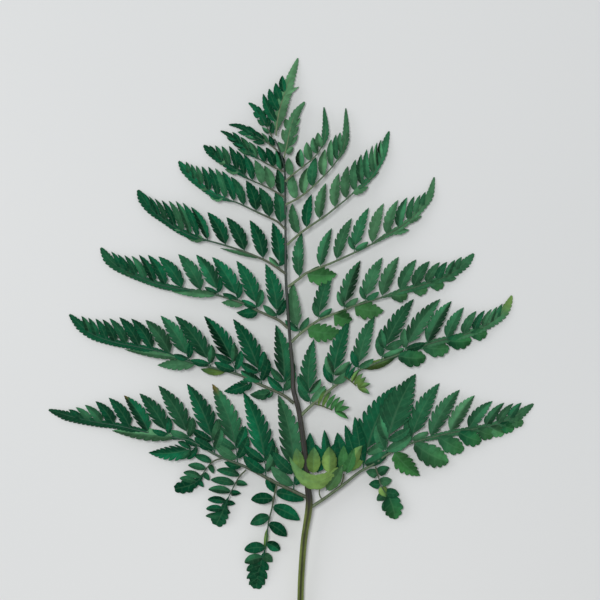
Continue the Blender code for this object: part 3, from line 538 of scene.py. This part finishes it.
def add_tube(skin, centre, radii, colour, sides, groove=0.0, dark=0.0):
    """A round stalk with closed ends and, if it has one, a groove along its top. dark: how much darker its
    colour is painted along its top, a painted shade in the groove.
    """
    along = unit(np.gradient(centre, axis=0))
    side = unit(np.cross(along, UP))
    over = np.cross(side, along)
    turn = np.linspace(0, 2 * math.pi, sides, endpoint=False) + math.pi / 2
    top = np.exp(-((np.sin((turn - math.pi / 2) / 2) * GROOVE_NARROW) ** 2))
    dent = 1 - groove * top
    ring = side[:, None, :] * np.cos(turn)[None, :, None] + over[:, None, :] * np.sin(turn)[None, :, None]
    points = centre[:, None, :] + ring * (radii[:, None] * dent[None, :])[..., None]
    rows = len(centre)
    faces = []
    for j in range(sides):
        k = (j + 1) % sides
        faces += [(i * sides + j, (i + 1) * sides + j, (i + 1) * sides + k, i * sides + k)
                  for i in range(rows - 1)]
    faces.append(tuple(range(sides)))
    faces.append(tuple(reversed(range((rows - 1) * sides, rows * sides))))
    share = np.linspace(0, 1, rows)
    places = np.stack([np.broadcast_to(np.cos(turn), (rows, sides)),
                       np.broadcast_to(share[:, None] * rows, (rows, sides)),
                       np.broadcast_to(share[:, None], (rows, sides))], -1).reshape(-1, 3)
    # Painted shade: the colour darkens along the top, where the groove lies.
    shaded = colour[:, None, :] * (1 - dark * top)[None, :, None]
    skin.add(points.reshape(-1, 3), faces, shaded.reshape(-1, 3), places, [0] * len(faces))


# ---- Colours, as linear RGB ----

DEEP = np.array((0.0010, 0.043, 0.018))
MID = np.array((0.0045, 0.096, 0.041))
# A pale green: the colour of the pale veins, ribs and leaflets, and of the painted sheen mixed into the
# leaflets.
PALE_AND_SHEEN_GREEN = np.array((0.118, 0.280, 0.134))
YELLOW_GREEN = np.array((0.168, 0.280, 0.068))
OLIVE_GREEN = np.array((0.105, 0.180, 0.036))
FRESH_GREEN = np.array((0.040, 0.155, 0.040))
BROWN_TIP = np.array((0.130, 0.085, 0.022))
STIPE_OLIVE = np.array((0.152, 0.198, 0.044))
RACHIS_BROWN = np.array((0.042, 0.040, 0.030))
RACHIS_DARK = np.array((0.014, 0.042, 0.028))
RIB_DARK = np.array((0.012, 0.062, 0.034))
RIB_LIGHT = np.array((0.120, 0.165, 0.085))


LIGHT_FROM = 0.3  # a pinna lighter than this counts as light, and its costa is paler at its foot


def mix(a, b, share):
    """The first colour with this share of the second."""
    share = np.asarray(share, float)[..., None]
    return a * (1 - share) + b * share


TONE, TONE_BY_LIGHT, TONE_SPREAD = 0.36, 0.50, 0.32  # from DEEP to MID
SHEEN, SHEEN_BY_LIGHT, SHEEN_SPREAD = 0.02, 0.43, 0.11  # the share of the pale green mixed into a leaflet as a painted sheen, more on lighter pinnae
FOOT_SHADE = 0.62  # painted shade: a leaflet is darker at its foot, next to the costa

# A style's colour, its share, and the shares of the leaflet's length where it begins and is full, if it
# isn't all over.
TINTS = {
    PALE: (PALE_AND_SHEEN_GREEN, 0.35, None),
    SLIVER: (PALE_AND_SHEEN_GREEN, 0.35, None),
    DARK: (mix(DEEP, MID, 0.4), 1.0, None),
    TURNED: (YELLOW_GREEN, 0.80, (1.35, 0.35)),
    OLIVE: (OLIVE_GREEN, 0.75, (1.3, 0.3)),
    # SHADED is painted shade: a leaf painted darker olive for the shadowed half of the curled bowl.
    SHADED: (OLIVE_GREEN, 0.28, (1.6, 0.6)),
    BLUNT: (FRESH_GREEN, 0.5, (0.0, 1 / 1.2)),
    FRESH: (FRESH_GREEN, 0.75, None),
    BROAD: (mix(DEEP, MID, 0.3), 0.75, None),
    TIPPED: (YELLOW_GREEN, 0.80, (0.89, 0.98)),
    BROWN: (BROWN_TIP, 0.85, (0.80, 0.96)),
}


def leaf_colour(share, light, style):
    """The colour of a leaflet by row, with a painted sheen of pale green mixed in: its share of its length,
    how light its pinna is, and its style.
    """
    tone = min(1.0, max(0.0, TONE + TONE_BY_LIGHT * light + rng.gauss(0, TONE_SPREAD)))
    sheen = max(0.0, rng.gauss(SHEEN + SHEEN_BY_LIGHT * light, SHEEN_SPREAD))
    colour = mix(mix(DEEP, MID, tone), PALE_AND_SHEEN_GREEN, np.full(len(share), sheen))
    colour = colour * (FOOT_SHADE + (1 - FOOT_SHADE) * ease(share * 1.8))[:, None]
    if style in TINTS:
        tint, strength, ends = TINTS[style]
        grown = ease((share - ends[0]) / (ends[1] - ends[0])) if ends else np.ones(len(share))
        colour = mix(colour, tint, strength * grown)
    return colour


# ---- Leaflets ----

ROW_SHARES = np.array((0.0, 0.08, 0.28, 0.5, 0.58, 0.78))  # where a tooth has its rows
TOOTH_SHAPE = ((0.0, 0.08, 0.28, 0.5, 0.58, 0.78, 1.0), (0.0, 0.55, 0.86, 0.99, 1.0, 0.92, 0.0))


def rows_of(teeth):
    """The count of teeth passed at each row of a blade."""
    return (np.arange(teeth)[:, None] + ROW_SHARES[None, :]).ravel()


def pointed(phase, depth):
    """The share of the full half-width at each row, for teeth that step outwards and end in a point."""
    return 1 - depth * (1 - np.interp(phase % 1.0, *TOOTH_SHAPE))


def rounded(phase, depth):
    """The same for round lobes."""
    return 1 - depth * (1 - np.sin(np.pi * (phase % 1.0)) ** 0.7)


def round_to_left(way, angle):
    """A plan direction turned to the left."""
    c, s = math.cos(angle), math.sin(angle)
    return np.array((way[0] * c - way[1] * s, way[0] * s + way[1] * c))


LEAF_BOW = 0.06  # how far a leaflet bends sideways, to its length
ROLL, ROLL_SPREAD = 0.09, 0.09
FOLD, FOLD_SPREAD = 0.05, 0.12
LIFT, LIFT_SPREAD = 0.03, 0.02  # how far its middle rises, to its length
# The spread of the painted sheen that lightens one half of a leaflet.
HALF_SHEEN_SPREAD = 0.28
SLIVER_ROLL, SLIVER_FOLD = 0.35, 0.15
# By a leaflet's length in mm: how deep its teeth are at its foot and at its tip, to its half-width, and how
# far its veins lean forwards.
FOOT_TEETH = ((8, 16, 24, 34), (0.06, 0.17, 0.36, 0.54))
TIP_TEETH = ((8, 16, 30), (0.05, 0.12, 0.22))
VEIN_SWEEP = ((8, 16, 26), (0.5, 0.8, 1.25))
SMOOTH_TIP, SMOOTH_SWEEP = 0.05, 0.15
TOOTH_PITCH, TOOTH_PITCH_SHARE = 2.3, 0.042
# The styles with teeth of their own: depths, sweep and pitch, or None where they go by its length.
TEETH = {
    LOBE: ((0.10, 0.06), 0.25, None),
    FRESH: ((0.34, 0.30), 0.6, 3.8),
    SLIVER: ((0.34, 0.24), 0.8, None),
    BLUNT: ((0.20, 0.26), 0.5, 4.2),
    BROAD: ((0.34, 0.24), None, 4.4),
}
LOOSE_TEETH, LOOSE_SWEEP = (0.10, 0.08), 0.45
FOOT_START = (0.04, 0.15, 0.24)  # where the blade starts above no, one or two pairs
TURNED_CURL = -0.6
RIB_END = 0.80
RIB_RADII = ((0, 0.12, RIB_END), (0.34, 0.20, 0.07))
STALK_RADIUS = 0.42


class Leaflet:
    """One leaflet, or one free lobe of a leaflet. outwards: the way its costa runs. seated: 0 for one on a
    stalk, 1 for one on a broad foot. pairs: how many pairs of free lobes it has."""

    def __init__(self, foot, tip, width, outwards, seated=0.0, pairs=0, style=None, light=0.0, smooth=0.0):
        self.foot, self.tip = np.array(foot, float), np.array(tip, float)
        chord = (self.tip - self.foot)[:2]
        self.length = float(np.linalg.norm(chord))
        self.axis = chord / self.length
        self.left = np.array((-self.axis[1], self.axis[0]))
        self.width, self.seated, self.pairs = width, seated, pairs
        self.style, self.light, self.smooth = style, light, smooth
        self.bend = -LEAF_BOW if self.left @ outwards > 0 else LEAF_BOW
        self.roll = rng.gauss(0, ROLL_SPREAD) - ROLL * math.copysign(1, self.bend)
        self.fold = rng.gauss(FOLD, FOLD_SPREAD)
        self.lift = rng.gauss(LIFT, LIFT_SPREAD)
        self.half_sheen = rng.gauss(0, HALF_SHEEN_SPREAD)
        if style == SLIVER:
            self.roll, self.fold, self.bend = math.copysign(SLIVER_ROLL, self.bend), SLIVER_FOLD, 0.0
        keen = 1 - smooth
        depths, sweep, pitch = TEETH.get(style, (None, None, None))
        self.depths = depths or (float(np.interp(self.length, *FOOT_TEETH)) * keen,
                                 float(np.interp(self.length, *TIP_TEETH)) * keen + SMOOTH_TIP * smooth)
        self.sweep = sweep or float(np.interp(self.length, *VEIN_SWEEP)) * keen + SMOOTH_SWEEP * smooth
        self.pitch = pitch or TOOTH_PITCH + TOOTH_PITCH_SHARE * self.length

    def midline(self, u):
        """Its midrib's points at these shares of its length."""
        plan = self.foot[:2] + self.axis * (self.length * u)[:, None]
        plan = plan + self.left * (4 * self.bend * self.length * u * (1 - u))[:, None]
        height = self.foot[2] + (self.tip[2] - self.foot[2]) * u ** 1.5
        height = height + self.lift * self.length * np.sin(np.pi * u) * (1 - self.seated)
        return raised(plan, np.maximum(height, LOWEST))

    def outline(self, t):
        """Half the width at each share of the length, without teeth: stalked leaflets are lance-shaped,
        seated ones stand on a broad foot, free lobes and smooth leaflets are oval, and blunt ones are widest
        near their tip."""
        if self.style == BLUNT:
            return self.width / 2 * np.sin(np.pi * t ** 1.25) ** 0.55
        lance = np.sin(np.pi * t ** 0.86) ** 0.8
        seated = (1 - t ** 2.6) ** 0.9
        oval = np.sin(np.pi * t ** 0.95) ** 0.65
        round_share = 1.0 if self.style == LOBE else self.smooth
        stalked = lance * (1 - round_share) + oval * round_share
        return self.width / 2 * (stalked * (1 - self.seated) + seated * self.seated)

    def veins(self, start):
        """Where the side veins leave the midrib, as shares of its length, and how far out they reach: a vein
        that leans forwards meets the outline further on."""
        t = np.linspace(0.001, 0.999, 400)
        reach = self.outline(t)
        root = t - self.sweep * reach / self.length
        root = np.maximum.accumulate(root)
        kept = root >= start
        root, reach = np.append(root[kept], 1.0), np.append(reach[kept], 0.0)
        root[0] = start
        return root, reach

    def grow(self, skin, ribs):
        """Its midrib, its blade and its free lobes."""
        self.grow_rib(ribs)
        if self.style == STALK_ONLY:
            return
        start = FOOT_START[self.pairs]
        teeth = max(3, round(self.length * (1 - start) / self.pitch))
        phase = rows_of(teeth)
        grown = 1 - (1 - phase / teeth) ** 1.3
        u = start + (1 - start) * grown
        deep, fine = self.depths
        depth = fine + (deep - fine) * (1 - grown) ** 1.5
        edge = rounded if self.style in (LOBE, BLUNT, FRESH) or self.smooth > 0.5 else pointed
        full = np.interp(u, *self.veins(start))
        widths = np.stack([full * edge(phase, depth), full * edge(phase + 0.5, depth)], 1)
        centre = self.midline(u)
        along = unit(np.gradient(centre, axis=0))
        level = unit(np.cross(UP, along))
        over = np.cross(along, level)
        roll = self.roll * (0.5 + grown)
        across = level * np.cos(roll)[:, None] + over * np.sin(roll)[:, None]
        curl = TURNED_CURL if self.style == TURNED else 0.0
        add_blade(skin, centre, across, widths, phase, grown, leaf_colour(u, self.light, self.style),
                  fold=self.fold, curl=curl, sweep=self.sweep, half_sheen=self.half_sheen)
        self.grow_pairs(skin, ribs)

    def grow_rib(self, ribs):
        """Its midrib, a little proud of the blade, or its bare stalk."""
        u = np.linspace(0, RIB_END, max(5, int(self.length / 2.5)))
        centre = self.midline(u)
        centre[:, 2] += 0.03
        radii = np.interp(u, *RIB_RADII) * (0.6 + self.length / 60)
        colour = mix(RIB_DARK, PALE_AND_SHEEN_GREEN, min(1.0, 0.02 + 0.3 * self.light))
        if self.style in (TURNED, OLIVE):
            colour = OLIVE_GREEN
        if self.style == STALK_ONLY:
            radii = np.full(len(u), STALK_RADIUS)
            colour = mix(RACHIS_BROWN, OLIVE_GREEN, 0.35)
        add_tube(ribs, centre, radii, np.repeat(colour[None, :], len(u), axis=0), sides=6)

    def grow_pairs(self, skin, ribs):
        """The free lobes at the foot of a large leaflet."""
        for k in range(self.pairs):
            foot = self.midline(np.array([0.06 + 0.12 * k]))[0]
            for side in (1, -1):
                way = round_to_left(self.axis, side * math.radians(rng.gauss(40 - 3 * k, 2)))
                reach = self.length * rng.gauss(0.31 - 0.02 * k, 0.012)
                tip = np.append(foot[:2] + way * reach, max(0.8, foot[2] - 1.0))
                lobe = Leaflet(foot + UP * 0.15 * side, tip, 0.40 * reach, -self.left * side,
                               style=LOBE, light=self.light)
                lobe.grow(skin, ribs)


LEAF_WIDTH_BASE, LEAF_WIDTH_SHARE = 3.8, 0.198
LEAF_ROOM = 1.35  # how much wider than the room between its neighbours a leaflet may be
WIDEST = 15.5
BROAD_WIDTH, FRESH_WIDTH, SLIVER_WIDEST = 20.0, 12.0, 8.0
BLUNT_WIDTH_BASE, BLUNT_WIDTH_SHARE = 3.6, 0.42
DROOP = 0.5  # how high a leaflet's tip is, to its foot
SEATED_FROM, SEATED_OVER = 0.52, 0.34
SHORT, SHORT_SEATED = 9, 0.7
# How long a leaflet has to be, and how near the foot of its costa, to have so many pairs of free lobes.
PAIRS = ((38, 0.40, 2), (28, 0.55, 1))


def count_pairs(pinna, style, length, share):
    """How many pairs of free lobes a leaflet has."""
    if style == PAIRED:
        return 2
    if pinna.simple or style not in (None, BROWN, BROAD):
        return 0
    return next((pairs for least, limit, pairs in PAIRS if length > least and share < limit), 0)


def grow_leaflets(skin, ribs, pinna, route, rows, height):
    """The leaflets of one side of a pinna, in order along its costa."""
    found = []
    for foot, x, y, *style in rows:
        s = route.where(pinna.run, foot)
        found.append((s, route.at(s), np.array((x, y), float), style[0] if style else None))
    found.sort(key=lambda row: row[0])
    for i, (s, foot, tip, style) in enumerate(found):
        length = float(np.linalg.norm(tip - foot))
        axis = (tip - foot) / length
        left = np.array((-axis[1], axis[0]))
        room = [abs((other[1] * 0.6 + other[2] * 0.4 - foot * 0.6 - tip * 0.4) @ left)
                for other in found[max(0, i - 1):i] + found[i + 1:i + 2]]
        width = (LEAF_WIDTH_BASE + LEAF_WIDTH_SHARE * length) * pinna.plump
        width = min([width, WIDEST, *(LEAF_ROOM * r for r in room)])
        width = {SLIVER: min(width, SLIVER_WIDEST), BROAD: BROAD_WIDTH, FRESH: FRESH_WIDTH,
                 BLUNT: BLUNT_WIDTH_BASE + BLUNT_WIDTH_SHARE * length}.get(style, width)
        share = s / route.length
        seated = float(ease((share - SEATED_FROM) / SEATED_OVER)) * (1 - pinna.smooth)
        if length < SHORT:
            seated = max(seated, SHORT_SEATED)
        foot_height = float(height(s))
        tip_height = max(0.5, foot_height * DROOP + rng.gauss(0, 0.4))
        leaflet = Leaflet(np.append(foot, foot_height), np.append(tip, tip_height), width, route.along(s),
                          seated, count_pairs(pinna, style, length, share), style, pinna.light, pinna.smooth)
        leaflet.grow(skin, ribs)


COSTA_END = 0.97  # where the midrib fades out
COSTA_THINNER = 0.85
WING_PITCH, BLUNT_WING_PITCH = 2.6, 3.8
WING_TEETH, WING_TIP_TEETH = 0.28, 0.14


def grow_costa(skin, ribs, pinna, route, start, height, radius):
    """The midrib of a pinna, and the toothed wing along its outer part, which ends as the pinna's tip."""
    s = np.linspace(start, route.length * COSTA_END, max(12, int(route.length / 2)))
    centre = raised(route.at(s), height(s))
    share = s / route.length
    radii = radius * (1 - COSTA_THINNER * share)
    foot_colour = mix(RACHIS_BROWN, RIB_LIGHT, 0.9 if pinna.light > LIGHT_FROM else 0.35)
    colour = mix(foot_colour, mix(RIB_DARK, RIB_LIGHT, 0.7 * pinna.light), ease(share * 1.6))
    add_tube(ribs, centre, radii, colour, sides=10, groove=0.25)

    wing = pinna.wing
    first = route.length * wing.start
    pitch = BLUNT_WING_PITCH if wing.blunt else WING_PITCH
    teeth = max(5, round((route.length - first) / pitch))
    phase = rows_of(teeth)
    s = first + (route.length - first) * phase / teeth
    share = s / route.length
    centre = raised(route.at(s), height(s))
    along = unit(np.gradient(centre, axis=0))
    across = unit(np.cross(UP, along))
    end = np.clip((share - wing.tip) / (1 - wing.tip), 0, 1)
    if wing.blunt:
        taper = np.clip(1 - end ** 2.4, 0.03, 1) ** 0.6
    else:
        taper = np.clip(1 - end, 0.05, 1) ** 0.62
    swell = ease((share - wing.tip + 0.20) / 0.22)
    root = ease((share - wing.start) / 0.2)
    sides = list(zip(wing.narrow, wing.broad))
    if not route.ahead_is_left:
        sides.reverse()
    depth = WING_TEETH - WING_TIP_TEETH * ease(end)
    edge = rounded if wing.blunt else pointed
    widths = np.stack([root * (narrow + (broad - narrow) * swell) * taper * edge(phase + offset, depth)
                       for (narrow, broad), offset in zip(sides, (0.0, 0.5))], 1)
    # The wing gets a smaller painted sheen on one half.
    add_blade(skin, centre, across, widths, phase, share, leaf_colour(share, pinna.light, wing.style),
              sweep=0.3 if wing.blunt else 0.7, quilt=0.08, fold=0.03, half_sheen=rng.gauss(0, 0.12))


def grow_extras(skin, ribs, pinna):
    """The pinna's loose leaves."""
    for fx, fy, fz, tx, ty, tz, width, bend, style in pinna.extras:
        leaf = Leaflet((fx, fy, fz), (tx, ty, tz), width, np.array((1.0, 0.0)), style=style,
                       light=pinna.light)
        leaf.bend, leaf.roll = bend, 0.0
        if style != BLUNT:
            leaf.depths, leaf.sweep = LOOSE_TEETH, LOOSE_SWEEP
        leaf.grow(skin, ribs)


# ---- Materials ----


class Nodes:
    """Shorthand for building one material."""

    def __init__(self, name):
        self.material = bpy.data.materials.new(name)
        self.material.use_nodes = True
        self.tree = self.material.node_tree
        self.shader = self.tree.nodes["Principled BSDF"]

    def link(self, value, socket):
        """Join another node's output to the socket, or set the socket's own value."""
        if isinstance(value, bpy.types.NodeSocket):
            self.tree.links.new(value, socket)
        else:
            socket.default_value = value

    def node(self, kind, inputs=(), **settings):
        """A new node. inputs: what its sockets are linked or set to."""
        node = self.tree.nodes.new(kind)
        for key, value in settings.items():
            setattr(node, key, value)
        for key, value in dict(inputs).items():
            self.link(value, node.inputs[key])
        return node

    def math(self, operation, *values):
        """A sum or product, or another operation on numbers."""
        node = self.node("ShaderNodeMath", operation=operation)
        for value, socket in zip(values, node.inputs):
            self.link(value, socket)
        return node.outputs[0]

    def ramp(self, value, low, high, out_low=0.0, out_high=1.0):
        """out_low up to low, out_high from high on, and smooth between them."""
        node = self.node("ShaderNodeMapRange", interpolation_type="SMOOTHSTEP")
        for key, x in zip(("Value", "From Min", "From Max", "To Min", "To Max"),
                          (value, low, high, out_low, out_high)):
            self.link(x, node.inputs[key])
        return node.outputs[0]

    def blend(self, factor, a, b):
        """The first colour with this share of the second."""
        node = self.node("ShaderNodeMix", data_type="RGBA")
        for key, x in ((0, factor), (6, a), (7, b)):
            self.link(x, node.inputs[key])
        return node.outputs[2]

    def shade(self, colour, factor):
        """The colour made this many times as light."""
        factors = self.node("ShaderNodeCombineXYZ", {axis: factor for axis in range(3)}).outputs[0]
        return self.node("ShaderNodeVectorMath", {0: colour, 1: factors}, operation="MULTIPLY").outputs[0]

    def surface(self, colour, roughness, specular):
        """What the material's shader shows."""
        for key, value in zip(("Base Color", "Roughness", "Specular IOR Level"),
                              (colour, roughness, specular)):
            self.link(value, self.shader.inputs[key])

    def bumps(self, height, strength, distance):
        """Relief that only the light shows. distance: in metres."""
        bump = self.node("ShaderNodeBump", {"Height": height, "Strength": strength, "Distance": distance})
        self.link(bump.outputs[0], self.shader.inputs["Normal"])

    def noise(self, scale, detail, stretch=None):
        """Noise that sits still on the object. scale: per metre."""
        place = self.node("ShaderNodeTexCoord").outputs["Object"]
        if stretch:
            place = self.node("ShaderNodeMapping", {"Vector": place, "Scale": stretch}).outputs[0]
        noise = self.node("ShaderNodeTexNoise", {"Vector": place, "Scale": scale, "Detail": detail})
        return noise.outputs["Fac"]

    def attribute(self, name):
        """What the skins hold for each point or face."""
        return self.node("ShaderNodeAttribute", attribute_name=name)


def rgba(colour):
    """A colour as a shader socket takes it."""
    return (*[float(c) for c in colour], 1.0)


VEIN_PLACE = 0.66  # where in a tooth its vein runs
VEIN_EDGES, MIDRIB_EDGES = (0.02, 0.11), (0.02, 0.14)
LINES_PALER = 0.16
MOTTLE_SCALE, PATCH_SCALE, LEAF_GRAIN_SCALE = 260, 55, 1400
UNDERSIDE, UNDERSIDE_SHARE, UNDERSIDE_ROUGHER = (0.13, 0.21, 0.08), 0.72, 0.22
LEAF_SPECULAR, LEAF_BUMP = 0.035, 0.0003


def leaf_material():
    """A waxy leaf: pale veins, mottling, a darker edge, and a paler and duller underside."""
    n = Nodes("leaf")
    place = n.node("ShaderNodeSeparateXYZ", {0: n.attribute("place").outputs["Vector"]})
    across, tooth = n.math("ABSOLUTE", place.outputs[0]), place.outputs[1]
    under = n.attribute("under").outputs["Fac"]
    colour = n.attribute("colour").outputs["Color"]
    # Side veins: one in each tooth, fading towards the edge.
    off_vein = n.math("ABSOLUTE", n.math("SUBTRACT", n.math("FRACT", tooth), VEIN_PLACE))
    vein = n.math("MULTIPLY", n.ramp(off_vein, *VEIN_EDGES, 1.0, 0.0), n.ramp(across, 0.75, 1.0, 1.0, 0.0))
    midrib = n.ramp(across, *MIDRIB_EDGES, 1.0, 0.0)
    lines = n.math("MAXIMUM", n.math("MULTIPLY", vein, 0.55), midrib)
    mottle = n.noise(MOTTLE_SCALE, 4.0)
    patches = n.noise(PATCH_SCALE, 2.0)
    light = n.math("MULTIPLY", n.ramp(mottle, 0.3, 0.7, 0.82, 1.18), n.ramp(patches, 0.3, 0.7, 0.85, 1.15))
    edge = n.ramp(across, 0.80, 1.0, 1.0, 0.80)
    shaded = n.shade(colour, n.math("MULTIPLY", light, edge))
    lined = n.blend(n.math("MULTIPLY", lines, LINES_PALER), shaded, rgba(PALE_AND_SHEEN_GREEN))
    lower = n.blend(UNDERSIDE_SHARE, lined, rgba(UNDERSIDE))
    rough = n.ramp(mottle, 0.25, 0.75, 0.48, 0.62)
    rough = n.math("ADD", rough, n.math("MULTIPLY", under, UNDERSIDE_ROUGHER))
    n.surface(n.blend(under, lined, lower), rough, LEAF_SPECULAR)
    grain = n.noise(LEAF_GRAIN_SCALE, 2.0)
    relief = n.math("ADD", n.math("MULTIPLY", lines, -0.6), n.math("MULTIPLY", grain, 0.35))
    n.bumps(relief, 0.35, LEAF_BUMP)
    return n.material


STREAK_SCALE, STREAK_STRETCH, SPECK_SCALE = 900, (1.0, 0.06, 1.0), 420
STALK_SPECULAR, STALK_BUMP = 0.25, 0.0004


def stalk_material():
    """A smooth stalk with fine streaks along it and specks."""
    n = Nodes("stalk")
    colour = n.attribute("colour").outputs["Color"]
    streak = n.noise(STREAK_SCALE, 3.0, STREAK_STRETCH)
    speck = n.noise(SPECK_SCALE, 4.0)
    light = n.math("MULTIPLY", n.ramp(streak, 0.3, 0.7, 0.78, 1.2), n.ramp(speck, 0.3, 0.7, 0.88, 1.12))
    n.surface(n.shade(colour, light), n.ramp(streak, 0.2, 0.8, 0.36, 0.55), STALK_SPECULAR)
    n.bumps(streak, 0.3, STALK_BUMP)
    return n.material


LEAF, STALK = leaf_material(), stalk_material()

# ---- Pieces ----

STEM_ROWS, STEM_SIDES = 190, 24
STIPE_TOP, STIPE_FADE = -9, 14  # where the olive stipe turns into the brown rachis
DARK_FROM, DARK_FADE = 60, 90  # where the rachis turns dark
COSTA_RADIUS_BASE, COSTA_RADIUS_SHARE = 0.35, 0.0045
COSTA_FALL = 1.6  # above 1, a costa stays high near the stem and falls further out
TIP_LOWEST = 0.35  # how high the tips lie that touch the floor
SUB_START = 0.6  # how far from its parent's line a sub-pinna's costa starts


def place_piece(skin, node, material):
    """Make the skin's object, attach it to the frame's root body and hide the frame's own part for it."""
    piece = skin.make(material)
    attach(piece, "root")
    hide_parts(node)


def make_stem():
    """The stipe and the rachis, one stalk from the cut end to the tip."""
    route = Route(STEM_LINE)
    plan = route.at(np.linspace(0, route.length, STEM_ROWS))
    y = plan[:, Y]
    centre = raised(plan, stem_height(y))
    colour = mix(STIPE_OLIVE, RACHIS_BROWN, ease((y - STIPE_TOP) / STIPE_FADE))
    colour = mix(colour, RACHIS_DARK, ease((y - DARK_FROM) / DARK_FADE))
    skin = Skin("stem_stalk")
    # The stem's groove gets a strong painted shade.
    add_tube(skin, centre, stem_radius(y), colour, STEM_SIDES, groove=0.30, dark=0.90)
    place_piece(skin, "stem", STALK)


def make_pinna(name, pinna, grown):
    """A pinna's two pieces. grown: the routes and heights of those made before it, by name."""
    route = Route(pinna.costa)
    foot = route.points[0]
    if pinna.parent:
        parent_route, parent_height = grown[pinna.parent]
        foot_height = float(parent_height(parent_route.where(X, foot[X])))
        start = SUB_START
    else:
        foot_height = float(stem_height(foot[Y]))
        start = 0.0
    tip_height = pinna.tip + TIP_LOWEST

    def height(s):
        return tip_height + (foot_height - tip_height) * (1 - (np.asarray(s) / route.length) ** COSTA_FALL)

    skin, ribs = Skin(name + "_leaflets"), Skin(name + "_costa")
    radius = COSTA_RADIUS_BASE + COSTA_RADIUS_SHARE * route.length
    grow_costa(skin, ribs, pinna, route, start, height, radius)
    for rows in (pinna.ahead, pinna.behind):
        grow_leaflets(skin, ribs, pinna, route, rows, height)
    grow_extras(skin, ribs, pinna)
    grown[name] = (route, height)
    place_piece(skin, name, LEAF)
    place_piece(ribs, name, STALK)


make_stem()
grown = {}
for name, pinna in PINNAE.items():
    make_pinna(name, pinna, grown)

# ---- Floor, light and camera ----

FLOOR_SIZE = 6.0
FLOOR_TONES = ((0.675, 0.685, 0.685), (0.72, 0.725, 0.72))
SKY_COLOUR, SKY_STRENGTH = (0.96, 0.98, 1.0), 0.42
# Name, place, size in metres and power in watts.
LAMPS = (("key", (-0.25, 0.25, 2.2), 0.5, 26), ("side", (-1.3, 0.5, 1.0), 1.2, 5))
SENSOR_WIDTH = 36
CAMERA_HEIGHT, FIELD_WIDTH, FIELD_HEIGHT = 1.5, 0.360, 0.008  # the field is the width seen at its height
FIELD_MIDDLE = (-4.8, 121.8)  # in the plan's millimetres


def make_floor():
    """A plain pale floor, slightly uneven in tone."""
    n = Nodes("floor")
    tone = n.ramp(n.noise(1.2, 2.0), 0.3, 0.7)
    n.surface(n.blend(tone, *(rgba(colour) for colour in FLOOR_TONES)), 0.9, 0.1)
    a = FLOOR_SIZE
    mesh = bpy.data.meshes.new("floor")
    mesh.from_pydata([(-a, -a, 0), (a, -a, 0), (a, a, 0), (-a, a, 0)], [], [(0, 1, 2, 3)])
    mesh.materials.append(n.material)
    floor = add_object("floor", mesh)


def make_light():
    """A soft studio: a pale sky all round and two round lamps that face the frond."""
    world = bpy.data.worlds.new("studio")
    bpy.context.scene.world = world
    world.use_nodes = True
    sky = world.node_tree.nodes["Background"].inputs
    sky["Color"].default_value, sky["Strength"].default_value = rgba(SKY_COLOUR), SKY_STRENGTH
    for name, place, size, watts in LAMPS:
        data = bpy.data.lights.new(name, "AREA")
        data.shape, data.size, data.energy = "DISK", size, watts
        lamp = add_object(name, data)
        lamp.location = place
        lamp.rotation_euler = (-Vector(place)).to_track_quat("-Z", "Y").to_euler()


def make_camera():
    """Straight above, looking down, with the frond's tip up."""
    data = bpy.data.cameras.new("camera")
    data.sensor_width = SENSOR_WIDTH
    data.lens = SENSOR_WIDTH * (CAMERA_HEIGHT - FIELD_HEIGHT) / FIELD_WIDTH
    camera = add_object("camera", data)
    camera.location = (*(PLAN_ZERO[:2] + np.array(FIELD_MIDDLE) * MM), CAMERA_HEIGHT)
    bpy.context.scene.camera = camera


make_floor()
make_light()
make_camera()
bpy.context.scene.view_settings.view_transform = "Standard"
